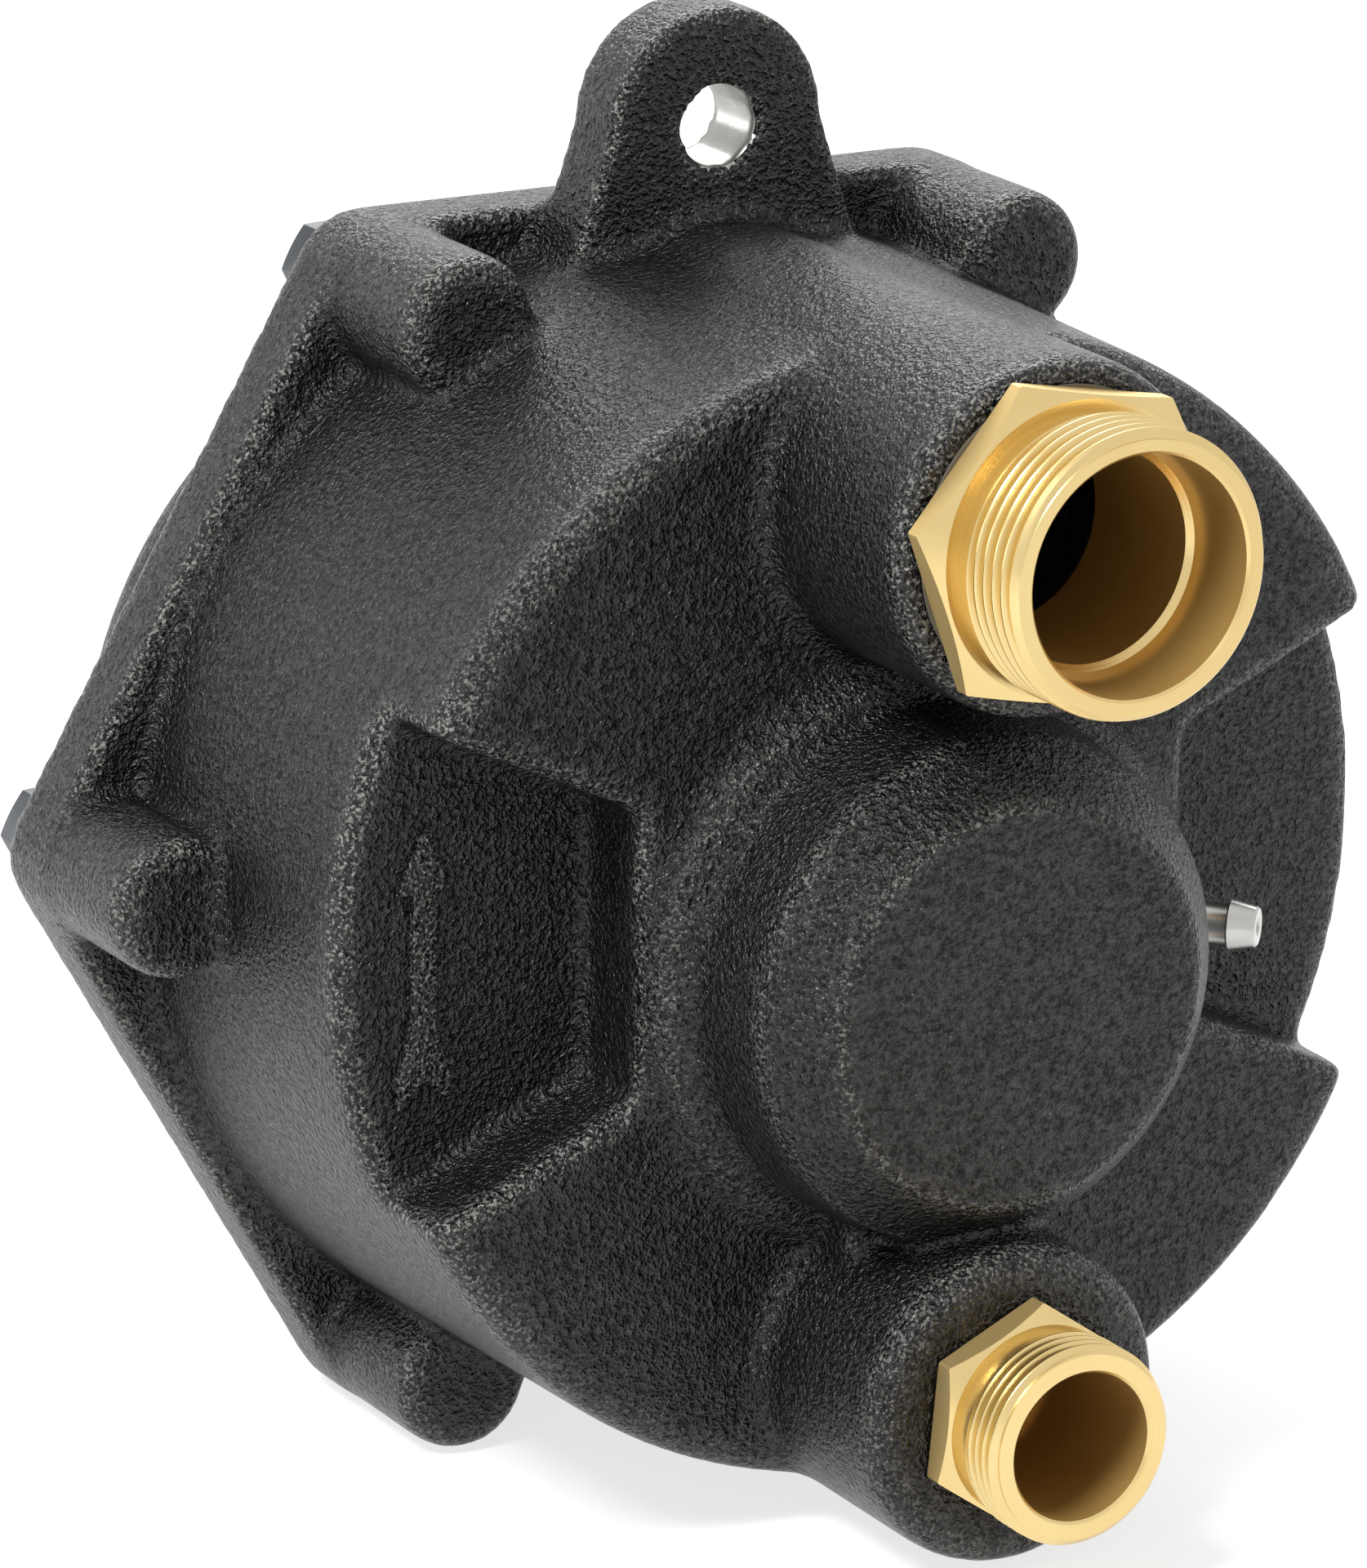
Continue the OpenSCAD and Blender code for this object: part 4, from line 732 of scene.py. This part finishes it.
@dataclass
class RearCover(Casting):
    """The rear cover's casting, with its bores and joint face machined.

    snout_len_mm is the length of the snout and bearing seat, from the input hub's rear end.
    """

    play_mm: float = 0.6
    snout_len_mm: float = 55.0

    def roundness(self, x: float, y: float, z: float) -> float:
        """Tells how much a point is rounded: only its outside is left as cast."""
        joint = reach("cover_gasket")[0] - self.play_mm
        inside = width("ring_gear") / 2 + self.play_mm
        snout = width("input_bearing_circlip") / 2 + self.play_mm
        if z > joint or (math.hypot(x, y) < inside and z > reach("input_hub")[0] + self.snout_len_mm):
            return 0.0
        return 0.0 if math.hypot(x, y) < snout else 1.0

    def build(self) -> bpy.types.Object:
        """Builds the cover."""
        return finish_piece(self.rounded(), Body.CASING, [self.node], [paints.of(ENAMEL)],
                            self.sharp_angle)


# A pipe thread's outline over one pitch: share of the pitch, and share of the thread's depth
THREAD_SHARES = ((0.0, 0.0), (0.08, 0.0), (0.16, 0.1), (0.38, 0.9), (0.46, 1.0), (0.54, 1.0), (0.62, 0.9),
                 (0.84, 0.1), (0.92, 0.0), (1.0, 0.0))


@dataclass
class Nipple:
    """A brass screwed nipple: hexagon, undercut, pipe thread and stepped bore.

    turn is the angle of the hexagon's first corner in degrees. All other sizes are in millimetres.
    Core, hexagon and thread are rings. The core alone meets the bore, with a lining round its mouth,
    and it ends a seam's width behind the thread.
    """

    name: str
    node: str
    finish: TurnedFinish
    hex_w: float
    turn: float
    thread_r: float
    pitch: float
    mouth_r: float
    throat_r: float
    spigot_r: float
    spigot_len: float = 15.0
    ring_t: float = 0.5
    hex_h: float = 4.5
    hex_edge: float = 0.25
    hex_lip: float = 0.5
    bevel_angle: float = 30.0
    undercut_w: float = 3.0
    undercut_d: float = 1.5
    chamfer: float = 1.1
    mouth_depth: float = 12.0
    mouth_edge: float = 0.4
    lining: float = 0.7
    seam: float = 0.015
    step_bevel: float = 0.9
    thread_depth_share: float = 0.6403
    spare: float = 0.06
    overrun: float = 1.0
    sharp_angle: float = 14.0
    steps: int = 96

    def thread(self, low: float, high: float) -> bpy.types.Object:
        """Cuts a length of thread.

        Args:
            low: the station at which it starts.
            high: the station at which it ends.

        Returns:
            A solid screw, in millimetres.
        """
        depth = self.thread_depth_share * self.pitch
        bm = bmesh.new()
        verts = [bm.verts.new((self.thread_r - depth * (1 - rise), 0.0, share * self.pitch))
                 for share, rise in THREAD_SHARES]
        edges = [bm.edges.new(pair) for pair in zip(verts, verts[1:])]
        bmesh.ops.spin(bm, geom=verts + edges, cent=(0, 0, 0), axis=(0, 0, 1),
                       dvec=(0, 0, self.pitch / self.steps), angle=FULL_TURN, steps=self.steps, use_merge=False,
                       use_duplicate=False)
        turn = list(bm.verts) + list(bm.edges) + list(bm.faces)
        for number in range(1, math.ceil((high - low) / self.pitch) + 3):
            copy = bmesh.ops.duplicate(bm, geom=turn)["geom"]
            bmesh.ops.translate(bm, verts=[v for v in copy if isinstance(v, bmesh.types.BMVert)],
                                vec=(0, 0, number * self.pitch))
        bmesh.ops.remove_doubles(bm, verts=bm.verts, dist=MERGE_MM)
        bmesh.ops.translate(bm, verts=bm.verts, vec=(0, 0, low - (1 + self.spare) * self.pitch))
        for place, side in ((low, -1), (high, 1)):
            cut = bmesh.ops.bisect_plane(bm, geom=list(bm.verts) + list(bm.edges) + list(bm.faces),
                                         plane_co=(0, 0, place), plane_no=(0, 0, side), clear_outer=True)
            rim = [edge for edge in cut["geom_cut"] if isinstance(edge, bmesh.types.BMEdge)]
            bmesh.ops.edgeloop_fill(bm, edges=rim)
        return solid("thread", tidied(bm))

    def build(self) -> bpy.types.Object:
        """Builds the nipple from its hexagon, its bored core and its thread."""
        across, rise = middle(self.node)
        rear, tip = reach(self.node)
        hex_rear = rear + self.spigot_len + self.ring_t
        hex_front = hex_rear + self.hex_h
        half = self.hex_w / 2
        far = half / math.cos(math.radians(30)) + self.overrun
        bevel = (far - half + self.hex_lip) * math.tan(math.radians(self.bevel_angle))
        start = hex_front + self.undercut_w
        root = self.thread_r - self.thread_depth_share * self.pitch + self.spare
        step = tip - self.mouth_depth
        hollow = self.mouth_r + self.lining
        piece = solid(self.name, hexagon(self.hex_w, hex_rear, hex_front, self.turn, self.hex_edge))
        combined(piece, Join.COMMON, solid("bevels", lathe(
            [(hollow, hex_rear - self.overrun), (half, hex_rear - self.overrun), (far, hex_rear + self.hex_lip / 2),
             (far, hex_front - bevel), (half - self.hex_lip, hex_front), (hollow, hex_front)], self.steps, True)))
        combined(piece, Join.UNION, solid("core", lathe(
            [(self.throat_r, rear), (self.spigot_r - self.chamfer, rear), (self.spigot_r, rear + self.chamfer),
             (self.spigot_r, hex_rear + self.overrun), (self.thread_r - self.undercut_d, hex_rear + self.overrun),
             (self.thread_r - self.undercut_d, start), (root, start + self.spare), (root, tip - self.chamfer),
             (root - self.spare, tip - self.seam), (self.mouth_r + self.mouth_edge, tip - self.seam),
             (self.mouth_r, tip - self.mouth_edge), (self.mouth_r, step), (self.throat_r + self.step_bevel, step),
             (self.throat_r, step - self.step_bevel)], self.steps, True)))
        screw = self.thread(start - self.chamfer, tip)
        inner = self.thread_r - self.chamfer - self.undercut_d
        combined(screw, Join.COMMON, solid("ends", lathe(
            [(hollow, start - self.chamfer - self.spare), (inner, start - self.chamfer - self.spare),
             (self.thread_r + self.spare, start + self.undercut_d - self.spare),
             (self.thread_r + self.spare, tip - self.chamfer - self.spare),
             (self.thread_r - self.chamfer, tip), (hollow, tip)], self.steps, True)))
        combined(piece, Join.UNION, screw)
        for face in piece.data.polygons:
            middle_r = math.hypot(face.center.x, face.center.y)
            flat = abs(face.normal.z) < self.spare and hex_rear < face.center.z < hex_front
            bored = middle_r < self.mouth_r + self.spare / 2 and abs(face.normal.z) < self.spare
            face.material_index = 1 if flat and middle_r > half - self.hex_edge else 2 if bored else 0
        piece.data.transform(into_frame((across, rise, 0.0)))
        return finish_piece(piece, Body.CASING, [self.node],
                            [paints.of(self.finish), paints.of(BAR_BRASS), paints.of(SHADED_BORE_BRASS)],
                            self.sharp_angle)


@dataclass
class HexBolts:
    """Hexagon heads with chamfered corners on plain shanks, all alike, one per CAD solid.

    places are the bolts' middles, as x and y from the shaft's axis, and turns their first corners.
    """

    name: str
    node: str
    places: Sequence[tuple[float, float]]
    turns: Sequence[float]
    head_w: float
    head_h: float
    shank_r: float
    rear: float
    front: float
    lip: float = 0.4
    edge: float = 0.2
    bevel_angle: float = 28.0
    tip_bevel: float = 0.8
    steps: int = 48

    def bolt(self, turn: float) -> bmesh.types.BMesh:
        """Builds one bolt about its own axis, its head to the rear.

        Args:
            turn: the angle of the head's first corner, in degrees.

        Returns:
            Its mesh, in millimetres.
        """
        seat = self.rear + self.head_h
        half = self.head_w / 2
        far = half / math.cos(math.radians(30)) + self.edge
        bevel = (far - half + self.lip) * math.tan(math.radians(self.bevel_angle))
        head = solid("head", hexagon(self.head_w, self.rear, seat, turn, self.edge))
        combined(head, Join.COMMON, solid("bevels", lathe(
            [(0.0, self.rear), (half - self.lip, self.rear), (far, self.rear + bevel), (far, seat - self.edge),
             (far - self.edge, seat), (0.0, seat)], self.steps)))
        combined(head, Join.UNION, solid("shank", lathe(
            [(0.0, seat - self.lip), (self.shank_r, seat - self.lip), (self.shank_r, self.front - self.tip_bevel),
             (self.shank_r - self.tip_bevel, self.front), (0.0, self.front)], self.steps)))
        bm = bmesh.new()
        bm.from_mesh(head.data)
        bpy.data.objects.remove(head)
        return bm

    def build(self) -> bpy.types.Object:
        """Builds all the bolts as one piece."""
        whole = bmesh.new()
        for (x, y), turn in zip(self.places, self.turns):
            bm = self.bolt(turn)
            bm.transform(into_frame((x, y, 0.0)))
            part = bpy.data.meshes.new("bolt")
            bm.to_mesh(part)
            bm.free()
            whole.from_mesh(part)
            bpy.data.meshes.remove(part)
        return finish_piece(solid(self.name, whole), Body.CASING, [self.node],
                            [paints.of(PHOSPHATED_STEEL)])


@dataclass
class GreaseNipple:
    """A plated grease nipple that leans out of the hub's foot: hexagon, neck and tapered head.

    Stations count along its own axis from its seat. across and forward are where the seat lies.
    """

    across: float = 42.0
    forward: float = 90.0
    lean: float = 45.0
    stem_r: float = 3.0
    stem_len: float = 8.0
    hex_w: float = 7.0
    hex_h: float = 3.4
    neck_r: float = 3.15
    head_from: float = 9.0
    head_r: float = 3.9
    tip_r: float = 2.75
    tip: float = 13.0
    mouth_r: float = 1.1
    mouth_len: float = 0.8
    bore_r: float = 1.55
    edge: float = 0.3
    steps: int = 48

    def build(self) -> bpy.types.Object:
        """Builds the nipple."""
        half = self.hex_w / 2
        far = half / math.cos(math.radians(30)) + self.edge
        piece = solid("grease_nipple_body", hexagon(self.hex_w, 0.0, self.hex_h, 0.0, self.edge / 2))
        combined(piece, Join.COMMON, solid("bevels", lathe(
            [(0.0, 0.0), (far, 0.0), (far, self.hex_h - 3 * self.edge), (half - self.edge, self.hex_h),
             (0.0, self.hex_h)], self.steps)))
        combined(piece, Join.UNION, solid("shape", lathe(
            [(0.0, -self.stem_len), (self.stem_r, -self.stem_len), (self.stem_r, self.edge),
             (self.neck_r + self.edge, self.hex_h - self.edge), (self.neck_r, self.hex_h + self.edge),
             (self.neck_r, self.head_from - self.edge), (self.head_r - self.edge, self.head_from - self.edge),
             (self.head_r, self.head_from), (self.tip_r + self.edge, self.tip - self.edge), (self.tip_r, self.tip),
             (0.0, self.tip)], self.steps)))
        combined(piece, Join.CUT, solid("bore", lathe(
            [(0.0, -self.stem_len - self.edge), (self.bore_r, -self.stem_len - self.edge),
             (self.bore_r, self.tip - self.mouth_len), (self.mouth_r, self.tip - self.mouth_len),
             (self.mouth_r, self.tip - self.edge), (self.mouth_r + self.edge, self.tip),
             (self.mouth_r + self.edge, self.tip + self.edge), (0.0, self.tip + self.edge)], self.steps)))
        piece.data.transform(into_frame((self.across, 0.0, self.forward), self.lean))
        return finish_piece(piece, Body.CASING, ["grease_nipple"], [paints.of(ZINC)])


@dataclass
class SoftenedPart:
    """A turned or milled part whose edges are broken, as a bench hand leaves them."""

    name: str
    node: str
    body: Body
    slot: str
    finish: PlainFinish | TurnedFinish
    edge_mm: float = 0.4
    edge_angle: float = 40.0

    def build(self) -> bpy.types.Object:
        """Copies the CAD part and breaks its edges."""
        piece = copied(self.name, self.node)
        edge = piece.modifiers.new("edge", "BEVEL")
        edge.width = self.edge_mm * MM
        edge.segments = 2
        edge.limit_method = "ANGLE"
        edge.angle_limit = math.radians(self.edge_angle)
        settled(piece)
        return finish_piece(piece, self.body, [self.node], [paints.of(self.finish)])


@dataclass(frozen=True)
class Softbox:
    """A studio lamp aimed at the object. Angles are in degrees, sizes and distance in metres."""

    name: str
    azimuth: float
    elevation: float
    distance: float
    width: float
    height: float
    watts: float
    colour: str = "#ffffff"

    def hang(self, target: Vector) -> None:
        """Puts the lamp in the scene, facing the target."""
        light = bpy.data.lights.new(self.name, "AREA")
        light.shape = "RECTANGLE"
        light.size = self.width
        light.size_y = self.height
        light.energy = self.watts
        light.color = linear(self.colour)[:3]
        lamp = bpy.data.objects.new(self.name, light)
        bpy.context.scene.collection.objects.link(lamp)
        away = direction(self.azimuth, self.elevation)
        lamp.location = target + away * self.distance
        lamp.rotation_euler = away.to_track_quat("Z", "Y").to_euler()


def direction(azimuth: float, elevation: float) -> Vector:
    """Gives the direction from the object towards a viewer or lamp at these angles, in degrees."""
    side, up = math.radians(azimuth), math.radians(elevation)
    return Vector((math.sin(side) * math.cos(up), -math.cos(side) * math.cos(up), math.sin(up)))


@dataclass
class Studio:
    """A white studio: the photograph's camera, a pale floor, white surroundings and three soft lamps."""

    azimuth: float = -29.95
    elevation: float = 16.85
    roll: float = 0.79
    distance: float = 1.2551
    lens: float = 213.7
    film: float = 36.0
    aim_x: float = 0.01055
    aim_z: float = 0.00083
    floor_size: float = 12.0
    floor_glow: float = 0.75
    floor_colour: str = "#c8c8c8"
    surround: float = 0.3
    lamps: tuple[Softbox, ...] = (
        Softbox("key_softbox", -66.0, 48.0, 1.2, 0.35, 0.35, 12.0),
        Softbox("back_left_softbox", -142.0, 0.0, 1.3, 0.4, 0.5, 2.5),
        Softbox("back_right_softbox", 150.0, 38.0, 1.3, 1.0, 0.6, 10.0),
    )

    def camera(self) -> None:
        """Sets the camera at the photograph's viewing angle."""
        target = Vector((self.aim_x, FLANGE_Y, self.aim_z))
        back = direction(self.azimuth, self.elevation)
        side = math.radians(self.azimuth)
        right = Vector((math.cos(side), math.sin(side), 0.0))
        up = back.cross(right)
        roll = math.radians(self.roll)
        right, up = right * math.cos(roll) + up * math.sin(roll), up * math.cos(roll) - right * math.sin(roll)
        view = bpy.data.cameras.new("camera")
        view.sensor_fit = "HORIZONTAL"
        view.sensor_width = self.film
        view.lens = self.lens
        view.clip_end = self.floor_size * 2
        camera = bpy.data.objects.new("camera", view)
        bpy.context.scene.collection.objects.link(camera)
        camera.matrix_world = Matrix.Translation(target + back * self.distance) @ Matrix(
            (right, up, back)).transposed().to_4x4()
        bpy.context.scene.camera = camera

    def shown_white(self, tree: bpy.types.NodeTree) -> bpy.types.NodeSocket:
        """Adds the nodes that tell camera, mirrored and refracted rays from the rays that light the object.

        Args:
            tree: the tree that they join.

        Returns:
            A socket that is 1 for rays that should see white.
        """
        path = add(tree, "ShaderNodeLightPath")
        seen = add(tree, "ShaderNodeMath", {"operation": "MAXIMUM"},
                   {0: path.outputs["Is Camera Ray"], 1: path.outputs["Is Glossy Ray"]})
        return add(tree, "ShaderNodeMath", {"operation": "MAXIMUM"},
                   {0: seen.outputs["Value"], 1: path.outputs["Is Transmission Ray"]}).outputs["Value"]

    def surroundings(self) -> None:
        """Makes the white surroundings, which light the object more softly than they look."""
        world = bpy.data.worlds.new("white_surroundings")
        world.use_nodes = True
        tree = world.node_tree
        tree.nodes.clear()
        soft = add(tree, "ShaderNodeBackground", {"Color": (1, 1, 1, 1), "Strength": self.surround})
        white = add(tree, "ShaderNodeBackground", {"Color": (1, 1, 1, 1), "Strength": 1.0})
        mix = add(tree, "ShaderNodeMixShader", links={0: self.shown_white(tree), 1: soft.outputs["Background"],
                                                      2: white.outputs["Background"]})
        add(tree, "ShaderNodeOutputWorld", links={"Surface": mix.outputs["Shader"]})
        bpy.context.scene.world = world

    def floor(self, level: float) -> None:
        """Lays the pale floor under the object.

        Args:
            level: the height of the object's lowest point, in metres.
        """
        material, tree = new_tree("white_floor")
        shade = add(tree, "ShaderNodeBsdfDiffuse", {"Color": linear(self.floor_colour)})
        strength = add(tree, "ShaderNodeMath", {"operation": "MULTIPLY", 1: self.floor_glow},
                       {0: self.shown_white(tree)})
        glow = add(tree, "ShaderNodeEmission", {"Color": (1, 1, 1, 1)}, {"Strength": strength.outputs["Value"]})
        both = add(tree, "ShaderNodeAddShader", links={0: shade.outputs["BSDF"], 1: glow.outputs["Emission"]})
        add(tree, "ShaderNodeOutputMaterial", links={"Surface": both.outputs["Shader"]})
        bm = bmesh.new()
        bmesh.ops.create_grid(bm, x_segments=1, y_segments=1, size=self.floor_size / 2)
        bmesh.ops.translate(bm, verts=bm.verts, vec=(0, 0, level))
        floor = solid("studio_floor", bm)
        floor.data.materials.append(material)

    def build(self) -> None:
        """Sets up camera, floor, surroundings and lamps, and plain colour handling."""
        low, high = CAD_BOX
        self.camera()
        self.surroundings()
        self.floor(low[2])
        middle_point = (Vector(low) + Vector(high)) / 2
        for lamp in self.lamps:
            lamp.hang(middle_point)
        bpy.context.scene.view_settings.view_transform = "Standard"


def flange_bolts() -> HexBolts:
    """Gives the six flange bolts, at the corners of the hexagon."""
    across, rise = middle("partition_plate")
    circle_r, count = 94.0, 6
    rear, front = reach("cover_bolts")
    angles = [math.radians(number * 360 / count) for number in range(count)]
    places = [(across + circle_r * math.cos(a), rise + circle_r * math.sin(a)) for a in angles]
    return HexBolts("flange_bolts", "cover_bolts", places, [0.0] * count, head_w=13.0, head_h=5.3,
                    shank_r=4.0, rear=rear, front=front)


def oil_plugs() -> HexBolts:
    """Gives the three oil plugs in the rear cover."""
    circle_r, count = 55.983, 3
    rear, front = reach("oil_plugs")
    turns = [90.0 * (number + 1) for number in range(count)]
    places = [(circle_r * math.cos(math.radians(a)), circle_r * math.sin(math.radians(a))) for a in turns]
    return HexBolts("oil_plug_screws", "oil_plugs", places, turns, head_w=14.0, head_h=6.0, shank_r=5.0,
                    rear=rear, front=front)


def dress_nodes() -> None:
    """Gives every CAD node the material of its slot in the record."""
    slots = {row["node"]: row["material_slot"] for row in frame["record"]["subparts"]}
    for name, node in frame["nodes"].items():
        material = paints.of(FINISH_OF_SLOT[slots[name]])
        node.data.materials.clear()
        node.data.materials.append(material)


def main() -> None:
    """Builds the studio, dresses the CAD nodes and builds the pieces that stand for the visible ones."""
    logging.basicConfig(level=logging.INFO, format="%(name)s: %(message)s")
    Studio().build()
    dress_nodes()
    FrontCasing("front_casing_casting", "front_casing", grid_mm=1.15, passes=26, faces=185000).build()
    CastArrow().build()
    RearCover("rear_cover_casting", "rear_cover", grid_mm=1.5, passes=9, faces=70000).build()
    Nipple("suction_nipple_turned", "suction_nipple", SUCTION_BRASS, hex_w=44.0, turn=-10.0, thread_r=20.955,
           pitch=2.309, mouth_r=17.4, throat_r=15.5, spigot_r=20.955).build()
    Nipple("pressure_nipple_turned", "pressure_nipple", PRESSURE_BRASS, hex_w=30.0, turn=25.0, thread_r=15.1,
           pitch=1.814, mouth_r=11.2, throat_r=9.5, spigot_r=13.2, mouth_depth=28.0).build()
    GreaseNipple().build()
    flange_bolts().build()
    oil_plugs().build()
    SoftenedPart("input_hub_turned", "input_hub", Body.INPUT_HUB, "machined_steel", MACHINED_STEEL).build()
    SoftenedPart("hub_lock_pin_turned", "hub_lock_pin", Body.LOCK_PIN, "zinc_steel", ZINC, edge_mm=0.3).build()


if __name__ == "__main__":
    main()
